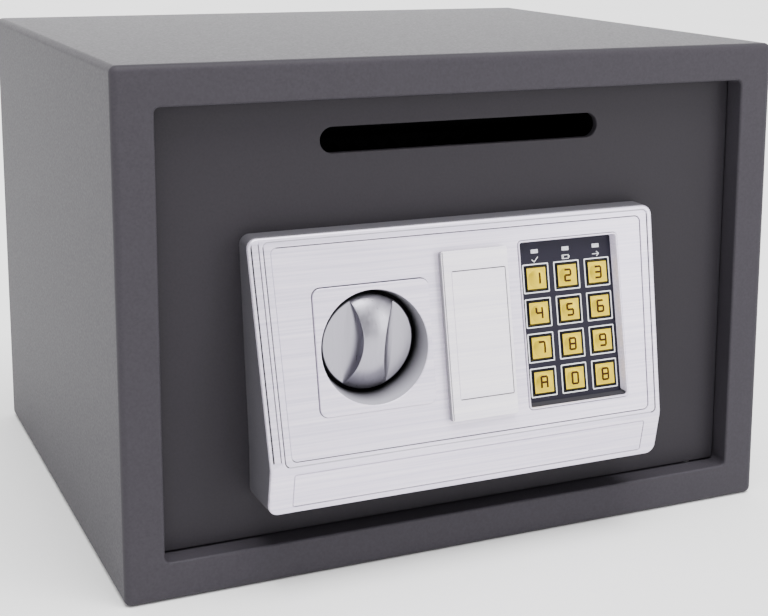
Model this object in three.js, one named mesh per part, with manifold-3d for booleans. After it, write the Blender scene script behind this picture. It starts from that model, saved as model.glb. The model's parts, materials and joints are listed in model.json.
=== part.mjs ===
// Drop-slot safe: steel body, hinged door with a deposit slot, wedge-shaped keypad lock panel,
// knob-driven bolts, override key lock, and the mechanism behind the door under an inner cover.
// Millimetres. +X is right, +Y goes into the safe, +Z is up. The origin is the centre of the base.
import * as THREE from "three";
import { mergeVertices } from "three/addons/utils/BufferGeometryUtils.js";
import Module from "manifold-3d";

const wasm = await Module();
wasm.setup();

// Clearances
const seatGap = 0.3; // between pieces that rest on each other
const runGap = 0.35; // round a piece that slides or turns
const cutPast = 1; // how far a cutting tool runs past the face it cuts
const bite = 0.1; // overlap of two solids that are joined
const sliver = 0.01; // straight or radius left where an outline would otherwise close up

// Body
const bodyWidth = 350;
const bodyDepth = 300;
const bodyHeight = 250;
const bodyWall = 2;
const bendRadius = 3.5;
const flangeWidth = 19; // front frame, body edge to door opening
const lipDepth = 20; // how far the frame's lip turns in behind the front
const openingRadius = 2.5;
const rearFlange = 12; // fold round the back
const backSheet = 2;
const anchorRadius = 5;
const anchorSpacing = 150;
const stopWidth = 20; // door stops welded inside the lip
const stopReach = 6; // how far a stop overlaps the door
const matThickness = 3;
const matMargin = 5;

// Door
const doorRecess = 11; // body front to door front
const doorSheet = 4;
const doorGap = 1; // door edge to opening, all round
const doorRadius = 2;
const pivotInset = 15; // hinge axis from the door's edge
const pivotSetback = 0.5; // hinge axis behind the door's back
const pinRadius = 2.5;
const pinSeat = 18; // pin length welded into the groove in the door's back
const pinReach = 8; // pin length above the door's edge
const bushWidth = 16;
const bushDepth = 13;
const bushHeight = 9;

// Deposit slot, chute and hood
const slotLength = 150;
const slotHeight = 12.5;
const slotBelow = 39.6; // slot's middle below the body's top
const chuteSheet = 1.5;
const chuteTilt = THREE.MathUtils.degToRad(20);
const chuteLength = 50; // measured on the level
const chuteDrop = 2; // floor below the slot's lower edge
const chuteFlange = 10;
const chuteSide = 6; // slot end to cheek
const hoodRise = 4; // hood above the slot's upper edge
const hoodFlange = 6;
const toothCount = 15;
const toothLength = 5;

// Lock panel: protrusions are measured from the door's front face
const panelWidth = 217;
const panelHeight = 128.4;
const panelAcross = 149.3; // opening's left edge to the panel's middle
const panelBelow = 81; // body's top to the panel's top edge
const faceFall = 105; // panel's top edge to the kink
const topProtrusion = 12;
const kinkProtrusion = 33;
const bottomProtrusion = 28;
const panelTaper = 3.6; // each side leans in from the top edge to the kink
const panelRadius = 5;
const bezelSheet = 2.2;
const housingWall = 2.5;
const housingFront = 2;
const fieldSide = 10; // bezel rim beside the sunk field
const fieldTop = 5.2;
const fieldBottom = 2.2; // above the kink
const fieldDepth = 0.6;

// Places on the panel and behind it are measured across from the panel's middle and down from its top edge

// Knob
const knobAcross = -49.5;
const knobBelow = 54.7;
const knobRadius = 23.3;
const knobProtrusion = 13; // of the knob's flat rim
const knobSkirt = 6.5;
const gripRise = 9;
const gripWaist = 12.4;
const gripCurve = 60; // radius of the hollow sides
const gripSteps = 8; // rings of its dome
const gripLean = THREE.MathUtils.degToRad(10);
const knobEdge = 0.8;
const knobRange = THREE.MathUtils.degToRad(90);
const plateWidth = 59; // square plate round the knob
const plateHeight = 60;
const plateRadius = 4;
const wellRadius = 27.2;
const wellMouthRadius = 25;
const wellProtrusion = 11.5; // of the well's inner mouth
const wellWall = 1.6;
const spindleRadius = 3;
const knobBushWall = 3;
const knobBushFlange = 2;
const knobBushSheet = 1.5;

// Cover plate over the override lock
const keyCoverWidth = 35.6;
const keyCoverHeight = 82;
const keyCoverAcross = 4.1;
const keyCoverTop = 13.9; // below the panel's top edge, along the face
const keyCoverRise = 3;
const keyCoverFieldWidth = 29.6;
const keyCoverFieldHeight = 62.5;
const keyCoverFieldDepth = 0.5;
const keyHatchWidth = 29;
const keyHatchHeight = 68;
const clipLength = 6;
const clipWidth = 1.6;
const clipHeight = 20;

// Keypad
const windowWidth = 55.2;
const windowHeight = 82;
const windowAcross = 58.3;
const windowTop = 13.3; // below the panel's top edge, along the face
const windowRadius = 2.5;
const softCorner = 1; // small corner radius of plates and holes
const keyCorner = 0.4;
const windowDepth = 4;
const windowWall = 1.5;
const padSheet = 1.6;
const padOverlap = 2;
const keySize = 11.5;
const keyPitchX = 17.6;
const keyPitchZ = 17.3;
const keyRowsTop = 18.6; // centre of the top row below the window's top edge
const keyRise = 1.1;
const keyDome = 0.5;
const keyDomeRadius = 4.4;
const keyFlange = 1;
const keyFlangeSheet = 1;
const keyTravel = 0.6;
const keyStopGap = 0.15; // from a pressed key to the membrane
const lensWidth = 4;
const lensHeight = 2;
const lensTop = 5.1; // centre below the window's top edge
const lensBar = 1.5;
const lensRise = 0.25;
const membraneSheet = 1.2;
const boardSheet = 1.6;

// Bolt work behind the door
const frameSheet = 1.5;
const frameInset = 15; // opening's left edge to the frame
const frameAcross = 22; // of its right edge
const frameHeight = 112;
const frameBelow = -2; // of its top edge
const boltGuideSheet = 2;
const guideMargin = 3; // guide plate behind the bolts
const boltRadius = 8;
const boltSpread = 78;
const boltThrow = 15;
const boltInset = 4; // opening's left edge to the drawn-in bolt's tip
const boltEnd = 38.8; // bolt's rear end left of the knob
const boltBehindLip = 0.6;
const boltChamfer = 1.5;
const boltSheet = 2;
const columnWidth = 31; // the bolt plate's upright part
const columnMargin = 10;
const tongueLength = 55; // its level part
const tongueHeight = 29;
const tongueDrop = 8.5; // below the knob's middle
const crankRadius = boltThrow / (2 * Math.sin(knobRange / 2));
const camRadius = 15;
const camSheet = 3.5;
const camBehindDoor = 6.5;
const crankPinRadius = 2;
const crankPinPlay = 0.5;
const crankPinPast = 2; // pin end behind the bolt plate
const studRadius = 3;
const studHeadRadius = 5;
const studHead = 2;
const studSpread = 60;
const studAside = 31.8; // left of the knob

// Solenoid
const solenoidAside = 25.2; // right of the knob
const notchDepth = 6;
const plungerTravel = 5;
const plungerTipRadius = 2.75;
const plungerRadius = 4;
const plungerTipGap = 0.5;
const collarRadius = 6;
const collarSheet = 1.5;
const springRoom = 8;
const springWire = 0.8;
const springCurls = 5;
const springSteps = 8; // sides of a curl
const springSides = 5; // sides of the wire
const springSeat = 0.05; // from wire to the faces it rests between
const coilRadius = 9.5;
const coilLength = 24;
const coilFrameSheet = 2;
const coilFrameWidth = 22;
const plungerTail = 5;

// Override lock
const lockBelow = 54;
const lockRadius = 9;
const plugRadius = 5;
const lockSetback = 9; // lock face behind the panel face
const keywayWidth = 1.2;
const keywayHeight = 6;
const keywayDepth = 4;
const lockNutWidth = 25;
const lockNutSheet = 4;
const leverWidth = 8;
const leverSheet = 2;
const leverRest = THREE.MathUtils.degToRad(110);
const leverTurn = THREE.MathUtils.degToRad(90);

// Inner cover, batteries, control board and reset button
const coverAcross = -2; // of its middle
const coverWidth = 218;
const coverHeight = 128;
const coverBelow = -12; // of its top edge
const coverDepth = 41;
const coverSheet = 1.5;
const coverFlange = 7.5;
const coverStudRadius = 2;
const coverStudLength = 6;
const coverNutWidth = 6;
const coverNutHeight = 3.2;
const coverStudAcross = 77;
const cellRadius = 7.1;
const cellLength = 50;
const cellNub = 1;
const cellNubRadius = 2.6;
const cellEndRoom = 2; // contacts at both ends of a cell
const cellPitch = 15;
const cellCount = 4;
const bayAcross = 70.5;
const bayBelow = 82;
const trayWall = 1.6;
const trayEnd = 3;
const lidOverlap = 4;
const lidSheet = 2;
const boardAcross = 63; // of its middle
const boardWidth = 76;
const boardHeight = 51;
const boardBelow = -7; // of its top edge
const boardSetback = 12; // control board from the cover's back wall
const boardPostRadius = 3;
const boardPostInset = 5;
const resetAcross = 79;
const resetBelow = 18;
const resetRadius = 4;
const resetRise = 1.5;
const resetFlange = 1.5;
const resetFlangeReach = 2;
const resetTravel = 1.2;
const resetSwitchGap = 0.5;
const resetSwitchSize = 9;
const resetSwitchHeight = 3.5;

// Ribbon cable from keypad to control board
const ribbonAcross = 32;
const ribbonWidth = 8;
const ribbonSheet = 1;
const ribbonBelow = 51;
const ribbonRun = 3; // plug's height and its distance to the control board
const cableHoleWidth = 12;
const cableHoleHeight = 9;

// Facets
const roundFacets = 20;
const fineFacets = 32;
const smallFacets = 12;
const cornerFacets = 3;
const slotFacets = 8;
const gripFacets = 96;

// Planes that several pieces share
const frontY = -bodyDepth / 2;
const doorFront = frontY + doorRecess;
const doorBack = doorFront + doorSheet;
const lipBack = frontY + lipDepth;
const openingRight = bodyWidth / 2 - flangeWidth;
const openingBottom = flangeWidth;
const openingTop = bodyHeight - flangeWidth;
const doorRight = openingRight - doorGap;
const doorBottom = openingBottom + doorGap;
const doorTop = openingTop - doorGap;
const pivotX = doorRight - pivotInset;
const pivotY = doorBack + pivotSetback;
const slotZ = bodyHeight - slotBelow;
const panelX = -openingRight + panelAcross;
const panelLeft = panelX - panelWidth / 2;
const panelRight = panelX + panelWidth / 2;
const panelTop = bodyHeight - panelBelow;
const panelBottom = panelTop - panelHeight;
const kinkZ = panelTop - faceFall;
const knobX = panelX + knobAcross;
const knobZ = panelTop - knobBelow;
const lockX = panelX + keyCoverAcross;
const lockZ = panelTop - lockBelow;
const solenoidX = knobX + solenoidAside;
const frameLeft = -openingRight + frameInset;
const frameTop = panelTop - frameBelow;
const coverLeft = panelX + coverAcross - coverWidth / 2;
const coverRight = panelX + coverAcross + coverWidth / 2;
const coverTop = panelTop - coverBelow;
const coverBottom = coverTop - coverHeight;
const coverStudX = panelX + coverStudAcross;
const bayX = panelX + bayAcross;
const bayZ = panelTop - bayBelow;
const resetX = panelX + resetAcross;
const resetZ = panelTop - resetBelow;
const ribbonX = panelX + ribbonAcross;
const ribbonZ = panelTop - ribbonBelow;
const frameBack = doorBack + frameSheet;
const boltY = lipBack + boltBehindLip + boltRadius;
const coverFront = doorBack + frameSheet + seatGap;
const coverBack = doorBack + coverDepth;

// Materials
const steelGrey = new THREE.MeshStandardMaterial({ color: 0x5c5a61, roughness: 0.7, metalness: 0.2 });
const ductPaint = new THREE.MeshStandardMaterial({ color: 0x0e0e0f, roughness: 0.8, metalness: 0.1 });
const doorGrey = new THREE.MeshStandardMaterial({ color: 0x46444a, roughness: 0.7, metalness: 0.2 });
const zinc = new THREE.MeshStandardMaterial({ color: 0xb9bbb6, roughness: 0.4, metalness: 0.9 });
const brightSteel = new THREE.MeshStandardMaterial({ color: 0xc9cacd, roughness: 0.25, metalness: 1 });
const brass = new THREE.MeshStandardMaterial({ color: 0xc2a04e, roughness: 0.35, metalness: 1 });
const copper = new THREE.MeshStandardMaterial({ color: 0xb06a3c, roughness: 0.4, metalness: 0.9 });
const feltGrey = new THREE.MeshStandardMaterial({ color: 0x2c2c2f, roughness: 1, metalness: 0 });
const darkPlastic = new THREE.MeshStandardMaterial({ color: 0x4a494e, roughness: 0.6, metalness: 0 });
const silverPlastic = new THREE.MeshStandardMaterial({ color: 0xd9d8de, roughness: 0.35, metalness: 0.6 });
const navyLabel = new THREE.MeshStandardMaterial({ color: 0x3b3a4c, roughness: 0.5, metalness: 0 });
const goldKey = new THREE.MeshStandardMaterial({ color: 0xd2b659, roughness: 0.35, metalness: 0.4 });
const blackPlastic = new THREE.MeshStandardMaterial({ color: 0x1b1b1d, roughness: 0.55, metalness: 0 });
const paleLens = new THREE.MeshStandardMaterial({ color: 0xc8c8d0, roughness: 0.2, metalness: 0 });
const rubber = new THREE.MeshStandardMaterial({ color: 0x8d8d90, roughness: 0.9, metalness: 0 });
const boardGreen = new THREE.MeshStandardMaterial({ color: 0x2f6b45, roughness: 0.5, metalness: 0.1 });
const cellWrap = new THREE.MeshStandardMaterial({ color: 0x3a3f46, roughness: 0.4, metalness: 0.3 });
const redPlastic = new THREE.MeshStandardMaterial({ color: 0xb3261f, roughness: 0.4, metalness: 0 });

// Shapes

function roundedRect(x0, x1, y0, y1, radius) {
  const shape = new THREE.Shape();
  shape.moveTo(x0 + radius, y0);
  shape.lineTo(x1 - radius, y0);
  shape.absarc(x1 - radius, y0 + radius, radius, -Math.PI / 2, 0);
  shape.lineTo(x1, y1 - radius);
  shape.absarc(x1 - radius, y1 - radius, radius, 0, Math.PI / 2);
  shape.lineTo(x0 + radius, y1);
  shape.absarc(x0 + radius, y1 - radius, radius, Math.PI / 2, Math.PI);
  shape.lineTo(x0, y0 + radius);
  shape.absarc(x0 + radius, y0 + radius, radius, Math.PI, Math.PI * 1.5);
  return shape;
}

// Rounded outline that narrows from its top edge down to a level and is upright below it
function taperedRect(x0, x1, y0, y1, radius, taper, level) {
  const left = x0 + taper;
  const right = x1 - taper;
  const shape = new THREE.Shape();
  shape.moveTo(left + radius, y0);
  shape.lineTo(right - radius, y0);
  shape.absarc(right - radius, y0 + radius, radius, -Math.PI / 2, 0);
  shape.lineTo(right, level);
  shape.lineTo(x1, y1 - radius);
  shape.absarc(x1 - radius, y1 - radius, radius, 0, Math.PI / 2);
  shape.lineTo(x0 + radius, y1);
  shape.absarc(x0 + radius, y1 - radius, radius, Math.PI / 2, Math.PI);
  shape.lineTo(left, level);
  shape.lineTo(left, y0 + radius);
  shape.absarc(left + radius, y0 + radius, radius, Math.PI, Math.PI * 1.5);
  return shape;
}

function centredRect(x, y, width, height, radius) {
  return roundedRect(x - width / 2, x + width / 2, y - height / 2, y + height / 2, radius);
}

function polygon(points) {
  return new THREE.Shape(points.map(([x, y]) => new THREE.Vector2(x, y)));
}

// A shape drawn in X and Z, made solid from y0 to y1
function alongY(shape, y0, y1, curveSegments = cornerFacets) {
  const geometry = new THREE.ExtrudeGeometry(shape, { depth: y1 - y0, bevelEnabled: false, curveSegments });
  geometry.rotateX(Math.PI / 2);
  geometry.translate(0, y1, 0);
  return geometry;
}

// A shape drawn in Y and Z, made solid from x0 to x1
function alongX(shape, x0, x1, curveSegments = cornerFacets) {
  const geometry = new THREE.ExtrudeGeometry(shape, { depth: x1 - x0, bevelEnabled: false, curveSegments });
  const turn = new THREE.Matrix4().makeBasis(
    new THREE.Vector3(0, 1, 0),
    new THREE.Vector3(0, 0, 1),
    new THREE.Vector3(1, 0, 0),
  );
  geometry.applyMatrix4(turn);
  geometry.translate(x0, 0, 0);
  return geometry;
}

function block(x0, x1, y0, y1, z0, z1) {
  const geometry = new THREE.BoxGeometry(x1 - x0, y1 - y0, z1 - z0);
  geometry.translate((x0 + x1) / 2, (y0 + y1) / 2, (z0 + z1) / 2);
  return geometry;
}

function rodY(radius, x, z, y0, y1, facets = roundFacets) {
  const geometry = new THREE.CylinderGeometry(radius, radius, y1 - y0, facets);
  geometry.translate(x, (y0 + y1) / 2, z);
  return geometry;
}

function rodZ(radius, x, y, z0, z1, facets = roundFacets) {
  const geometry = new THREE.CylinderGeometry(radius, radius, z1 - z0, facets);
  geometry.rotateX(Math.PI / 2);
  geometry.translate(x, y, (z0 + z1) / 2);
  return geometry;
}

// A turned form from [radius, height] points, which start and end on the axis, or close on themselves
function turned(points, facets = roundFacets) {
  return new THREE.LatheGeometry(points.map(([r, h]) => new THREE.Vector2(r, h)), facets);
}

// Solids for cutting and joining

function solid(geometry) {
  const bare = geometry.index ? geometry.toNonIndexed() : geometry.clone();
  bare.deleteAttribute("normal");
  bare.deleteAttribute("uv");
  const merged = mergeVertices(bare, 1e-4);
  const index = merged.index.array;
  const triangles = [];
  for (let i = 0; i < index.length; i += 3) {
    const [a, b, c] = [index[i], index[i + 1], index[i + 2]];
    if (a !== b && b !== c && c !== a) triangles.push(a, b, c);
  }
  return new wasm.Manifold(
    new wasm.Mesh({
      numProp: 3,
      vertProperties: new Float32Array(merged.attributes.position.array),
      triVerts: new Uint32Array(triangles),
    }),
  );
}

function geometryOf(manifold) {
  const { vertProperties, triVerts, numProp } = manifold.getMesh();
  const geometry = new THREE.BufferGeometry();
  const positions = new Float32Array((vertProperties.length / numProp) * 3);
  for (let i = 0; i < positions.length / 3; i += 1) {
    positions.set(vertProperties.subarray(i * numProp, i * numProp + 3), i * 3);
  }
  geometry.setAttribute("position", new THREE.BufferAttribute(positions, 3));
  geometry.setIndex(new THREE.BufferAttribute(new Uint32Array(triVerts), 1));
  geometry.computeVertexNormals();
  return geometry;
}

function cut(base, ...tools) {
  return tools.reduce((left, tool) => left.subtract(solid(tool)), base);
}

function join(...geometries) {
  return geometries.map(solid).reduce((sum, next) => sum.add(next));
}

function place(parent, name, shape, material) {
  const geometry = shape.isBufferGeometry ? geometryOf(solid(shape)) : geometryOf(shape);
  const mesh = new THREE.Mesh(geometry, material);
  mesh.name = name;
  parent.add(mesh);
  return mesh;
}

const safe = new THREE.Group();

// The tilted face of the lock panel: x from the panel's middle, y into the panel, z up from its top edge
const faceTilt = Math.atan2(kinkProtrusion - topProtrusion, faceFall);
const face = new THREE.Group();
face.position.set(panelX, doorFront - topProtrusion, panelTop);
face.rotation.x = -faceTilt;
face.updateMatrixWorld(true);
safe.add(face);

function onFace(geometry) {
  return geometry.applyMatrix4(face.matrixWorld);
}

// Distance down the face of a level line, and the Y of the face there
function downFace(z) {
  return (panelTop - z) / Math.cos(faceTilt);
}

function faceY(z) {
  return doorFront - topProtrusion - (panelTop - z) * Math.tan(faceTilt);
}

// Body

const shellRear = bodyDepth / 2;
const insideBack = shellRear - bodyWall;

function bodyShell() {
  const outline = roundedRect(
    -bodyWidth / 2 + bendRadius,
    bodyWidth / 2 - bendRadius,
    bendRadius,
    bodyHeight - bendRadius,
    sliver,
  );
  const outer = new THREE.ExtrudeGeometry(outline, {
    depth: bodyDepth - 2 * bendRadius,
    curveSegments: cornerFacets,
    bevelEnabled: true,
    bevelSize: bendRadius,
    bevelThickness: bendRadius,
    bevelSegments: cornerFacets,
  });
  outer.rotateX(Math.PI / 2);
  outer.translate(0, shellRear - bendRadius, 0);
  const halfInside = bodyWidth / 2 - bodyWall;
  const ceiling = bodyHeight - bodyWall;
  const cavity = block(-halfInside, halfInside, frontY + bodyWall, insideBack, bodyWall, ceiling);
  const opening = roundedRect(-openingRight, openingRight, openingBottom, openingTop, openingRadius);
  const rearWidth = bodyWidth - 2 * rearFlange;
  const rearHeight = bodyHeight - 2 * rearFlange;
  const rear = centredRect(0, bodyHeight / 2, rearWidth, rearHeight, openingRadius);
  const lipOuter = roundedRect(
    -openingRight - bodyWall,
    openingRight + bodyWall,
    openingBottom - bodyWall,
    openingTop + bodyWall,
    openingRadius + bodyWall,
  );
  const pinHoles = pinRadius + runGap;
  const hollow = cut(solid(outer), cavity);
  const framed = hollow.add(solid(alongY(lipOuter, frontY + bodyWall / 2, lipBack)));
  const body = cut(
    framed,
    alongY(opening, frontY - cutPast, lipBack + cutPast),
    alongY(rear, insideBack - cutPast, shellRear + cutPast),
    rodZ(pinHoles, pivotX, pivotY, openingBottom - bodyWall - cutPast, openingBottom + cutPast, smallFacets),
    rodZ(pinHoles, pivotX, pivotY, openingTop - cutPast, openingTop + bodyWall + cutPast, smallFacets),
  );
  const stopX = -doorRight + doorRadius * 2;
  const stopFront = doorBack + seatGap;
  const halfWall = bodyWall / 2;
  const stops = [
    block(stopX, stopX + stopWidth, stopFront, lipBack, doorTop - stopReach, openingTop + halfWall),
    block(stopX, stopX + stopWidth, stopFront, lipBack, openingBottom - halfWall, doorBottom + stopReach),
  ];
  return stops.reduce((sum, stop) => sum.add(solid(stop)), body);
}

function backPlate() {
  const inset = bodyWall + seatGap;
  const sheet = block(
    -bodyWidth / 2 + inset,
    bodyWidth / 2 - inset,
    insideBack - seatGap - backSheet,
    insideBack - seatGap,
    inset,
    bodyHeight - inset,
  );
  const holes = [-1, 1].map((side) => {
    const x = (side * anchorSpacing) / 2;
    return rodY(anchorRadius, x, bodyHeight / 2, insideBack - backSheet - cutPast, insideBack + cutPast);
  });
  return cut(solid(sheet), ...holes);
}

function floorMat() {
  const halfWidth = bodyWidth / 2 - bodyWall - matMargin;
  const rear = insideBack - backSheet - matMargin;
  const front = lipBack + matMargin;
  return block(-halfWidth, halfWidth, front, rear, bodyWall, bodyWall + matThickness);
}

function hingeBush(edgeZ, outward) {
  const lipFace = edgeZ + outward * bodyWall;
  const far = lipFace + outward * bushHeight;
  const low = Math.min(lipFace, far);
  const high = Math.max(lipFace, far);
  const body = block(
    pivotX - bushWidth / 2,
    pivotX + bushWidth / 2,
    pivotY - bushDepth / 2,
    pivotY + bushDepth / 2,
    low,
    high,
  );
  const bore = rodZ(pinRadius + runGap, pivotX, pivotY, low - cutPast, high + cutPast, smallFacets);
  return cut(solid(body), bore);
}

place(safe, "body_shell", bodyShell(), steelGrey);
place(safe, "back_plate", backPlate(), steelGrey);
place(safe, "floor_mat", floorMat(), feltGrey);
place(safe, "hinge_bush_top", hingeBush(openingTop, 1), zinc);
place(safe, "hinge_bush_bottom", hingeBush(openingBottom, -1), zinc);

// Door

const coverStudZ = [coverBottom - coverFlange / 2, coverTop + coverFlange / 2];

function doorPlate() {
  const outline = roundedRect(-doorRight, doorRight, doorBottom, doorTop, doorRadius);
  const slot = centredRect(0, slotZ, slotLength, slotHeight, slotHeight / 2 - sliver);
  const near = doorFront - cutPast;
  const far = doorBack + cutPast;
  const groove = pinRadius + seatGap;
  const grooveFront = pivotY - groove;
  const grooveTop = doorTop - pinSeat - seatGap;
  const grooveBottom = doorBottom + pinSeat + seatGap;
  const cableHole = centredRect(ribbonX, ribbonZ, cableHoleWidth, cableHoleHeight, softCorner);
  const sheet = cut(
    solid(alongY(outline, doorFront, doorBack)),
    alongY(slot, near, far, slotFacets),
    block(pivotX - groove, pivotX + groove, grooveFront, far, grooveTop, doorTop + cutPast),
    block(pivotX - groove, pivotX + groove, grooveFront, far, doorBottom - cutPast, grooveBottom),
    rodY(spindleRadius + knobBushWall + 2 * runGap, knobX, knobZ, near, far),
    rodY(lockRadius + runGap, lockX, lockZ, near, far),
    alongY(cableHole, near, far),
  );
  const studs = coverStudZ.map((z) =>
    rodY(coverStudRadius, coverStudX, z, doorBack - doorSheet / 2, doorBack + coverStudLength, smallFacets),
  );
  return studs.reduce((sum, stud) => sum.add(solid(stud)), sheet);
}

place(safe, "door_plate", doorPlate(), doorGrey);
const topPin = rodZ(pinRadius, pivotX, pivotY, doorTop - pinSeat, doorTop + pinReach);
const bottomPin = rodZ(pinRadius, pivotX, pivotY, doorBottom - pinReach, doorBottom + pinSeat);
place(safe, "hinge_pin_top", topPin, brightSteel);
place(safe, "hinge_pin_bottom", bottomPin, brightSteel);

// Deposit chute and hood: the floor and the roof of one sloping duct behind the slot

const chuteFall = chuteLength * Math.tan(chuteTilt);
const slopeSheet = chuteSheet / Math.cos(chuteTilt);
const chuteStart = slotZ - slotHeight / 2 - chuteDrop;
const hoodStart = slotZ + slotHeight / 2 + hoodRise;
const cheekX = slotLength / 2 + chuteSide;
const chuteRear = doorBack + chuteLength;

function depositChute() {
  const halfWidth = cheekX - seatGap;
  const profile = polygon([
    [doorBack, chuteStart - chuteFlange],
    [doorBack + chuteSheet, chuteStart - chuteFlange],
    [doorBack + chuteSheet, chuteStart - slopeSheet - chuteSheet * Math.tan(chuteTilt)],
    [chuteRear, chuteStart - chuteFall - slopeSheet],
    [chuteRear, chuteStart - chuteFall],
    [doorBack, chuteStart],
  ]);
  return alongX(profile, -halfWidth, halfWidth);
}

function depositHood() {
  const roof = polygon([
    [doorBack, hoodStart],
    [chuteRear, hoodStart - chuteFall],
    [chuteRear, hoodStart - chuteFall + slopeSheet],
    [doorBack + chuteSheet, hoodStart + slopeSheet - chuteSheet * Math.tan(chuteTilt)],
    [doorBack + chuteSheet, hoodStart + hoodFlange],
    [doorBack, hoodStart + hoodFlange],
  ]);
  const cheek = polygon([
    [doorBack, chuteStart - slopeSheet],
    [chuteRear, chuteStart - chuteFall - slopeSheet],
    [chuteRear, hoodStart - chuteFall + slopeSheet],
    [doorBack, hoodStart + slopeSheet],
  ]);
  const roofZ = hoodStart - chuteFall;
  const pitch = (2 * cheekX) / toothCount;
  const comb = new THREE.Shape();
  comb.moveTo(-cheekX, roofZ + slopeSheet);
  for (let i = 0; i < toothCount; i += 1) {
    comb.lineTo(-cheekX + i * pitch, roofZ - chuteSheet);
    comb.lineTo(-cheekX + (i + 0.5) * pitch, roofZ - chuteSheet - toothLength);
  }
  comb.lineTo(cheekX, roofZ - chuteSheet);
  comb.lineTo(cheekX, roofZ + slopeSheet);
  return join(
    alongX(roof, -cheekX, cheekX),
    alongX(cheek, -cheekX - chuteSheet, -cheekX),
    alongX(cheek, cheekX, cheekX + chuteSheet),
    alongY(comb, chuteRear - chuteSheet, chuteRear),
  );
}

place(safe, "deposit_chute", depositChute(), ductPaint);
place(safe, "deposit_hood", depositHood(), ductPaint);

// Lock panel: a thin bezel over a housing, both bent at the kink

// Panel outline in Y and Z, set back from the outer surface by a depth measured square to it
function panelLine(depth, inset = 0) {
  const upper = Math.cos(faceTilt);
  const lowerTilt = Math.atan2(kinkProtrusion - bottomProtrusion, kinkZ - panelBottom);
  const lower = Math.cos(lowerTilt);
  const kinkY = doorFront - kinkProtrusion;
  const upperSlope = Math.tan(faceTilt);
  const lowerSlope = Math.tan(lowerTilt);
  const meetZ = kinkZ + (depth / lower - depth / upper) / (upperSlope + lowerSlope);
  const top = panelTop - inset;
  const bottom = panelBottom + inset;
  const upperY = (z) => kinkY + (z - kinkZ) * upperSlope + depth / upper;
  const lowerY = (z) => kinkY + (kinkZ - z) * lowerSlope + depth / lower;
  return [
    [upperY(top), top],
    [upperY(meetZ), meetZ],
    [lowerY(bottom), bottom],
  ];
}

function panelOutline() {
  const outline = taperedRect(panelLeft, panelRight, panelBottom, panelTop, panelRadius, panelTaper, kinkZ);
  return solid(alongY(outline, doorFront - kinkProtrusion - cutPast, doorFront, cornerFacets + 1));
}

const windowMiddle = -(windowTop + windowHeight / 2);
const keyCoverMiddle = -(keyCoverTop + keyCoverHeight / 2);
const knobDown = -downFace(knobZ);

function panelBezel() {
  const front = panelLine(0);
  const back = panelLine(bezelSheet);
  const bent = alongX(polygon([...front, ...back.reverse()]), panelLeft, panelRight);
  const rimRadius = windowRadius + windowWall;
  const rim = centredRect(
    windowAcross,
    windowMiddle,
    windowWidth + 2 * windowWall,
    windowHeight + 2 * windowWall,
    rimRadius,
  );
  const fieldLow = -downFace(kinkZ) + fieldBottom;
  const field = taperedRect(
    -panelWidth / 2 + fieldSide,
    panelWidth / 2 - fieldSide,
    fieldLow,
    -fieldTop,
    windowRadius,
    panelTaper,
    fieldLow + 2 * windowRadius,
  );
  const hatch = centredRect(keyCoverAcross, keyCoverMiddle, keyHatchWidth, keyHatchHeight, softCorner);
  const knobHole = centredRect(
    knobAcross,
    knobDown,
    plateWidth + 2 * seatGap,
    plateHeight + 2 * seatGap,
    plateRadius + seatGap,
  );
  const window = centredRect(windowAcross, windowMiddle, windowWidth, windowHeight, windowRadius);
  const windowRim = solid(onFace(alongY(rim, fieldDepth, windowDepth)));
  const plate = solid(bent).intersect(panelOutline()).add(windowRim);
  return cut(
    plate,
    onFace(alongY(field, -cutPast, fieldDepth)),
    onFace(alongY(window, -cutPast, windowDepth + cutPast)),
    onFace(alongY(hatch, -cutPast, windowDepth + cutPast)),
    onFace(alongY(knobHole, -cutPast, windowDepth + cutPast)),
  );
}

function panelHousing() {
  const front = panelLine(bezelSheet + seatGap);
  const inner = panelLine(bezelSheet + seatGap + housingFront, housingWall);
  const outerProfile = polygon([...front, [doorFront, panelBottom], [doorFront, panelTop]]);
  const innerProfile = polygon([
    ...inner,
    [doorFront + cutPast, panelBottom + housingWall],
    [doorFront + cutPast, panelTop - housingWall],
  ]);
  const outer = solid(alongX(outerProfile, panelLeft, panelRight)).intersect(panelOutline());
  const side = panelTaper + housingWall;
  const cavity = alongX(innerProfile, panelLeft + side, panelRight - side);
  const wellHole = wellRadius + wellWall + runGap;
  const padHole = centredRect(
    windowAcross,
    windowMiddle,
    windowWidth + 2 * (padOverlap + runGap),
    windowHeight + 2 * (padOverlap + runGap),
    softCorner,
  );
  const deep = bezelSheet + housingFront + 2 * cutPast;
  const lockHole = lockRadius + 2 * runGap;
  const hatch = centredRect(keyCoverAcross, keyCoverMiddle, keyHatchWidth, keyHatchHeight, softCorner);
  const lockFloor = onFace(alongY(hatch, bezelSheet + seatGap, lockSetback + housingFront));
  const shell = cut(outer, cavity).add(solid(lockFloor));
  const sunk = centredRect(
    keyCoverAcross,
    keyCoverMiddle,
    keyHatchWidth - 2 * housingFront,
    keyHatchHeight - 2 * housingFront,
    softCorner,
  );
  return cut(
    shell,
    onFace(alongY(sunk, -cutPast, lockSetback)),
    onFace(rodY(wellHole, knobAcross, knobDown, -cutPast, deep, fineFacets)),
    onFace(alongY(padHole, -cutPast, deep)),
    rodY(lockHole, lockX, lockZ, doorFront - kinkProtrusion, doorFront, roundFacets),
  );
}

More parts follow.
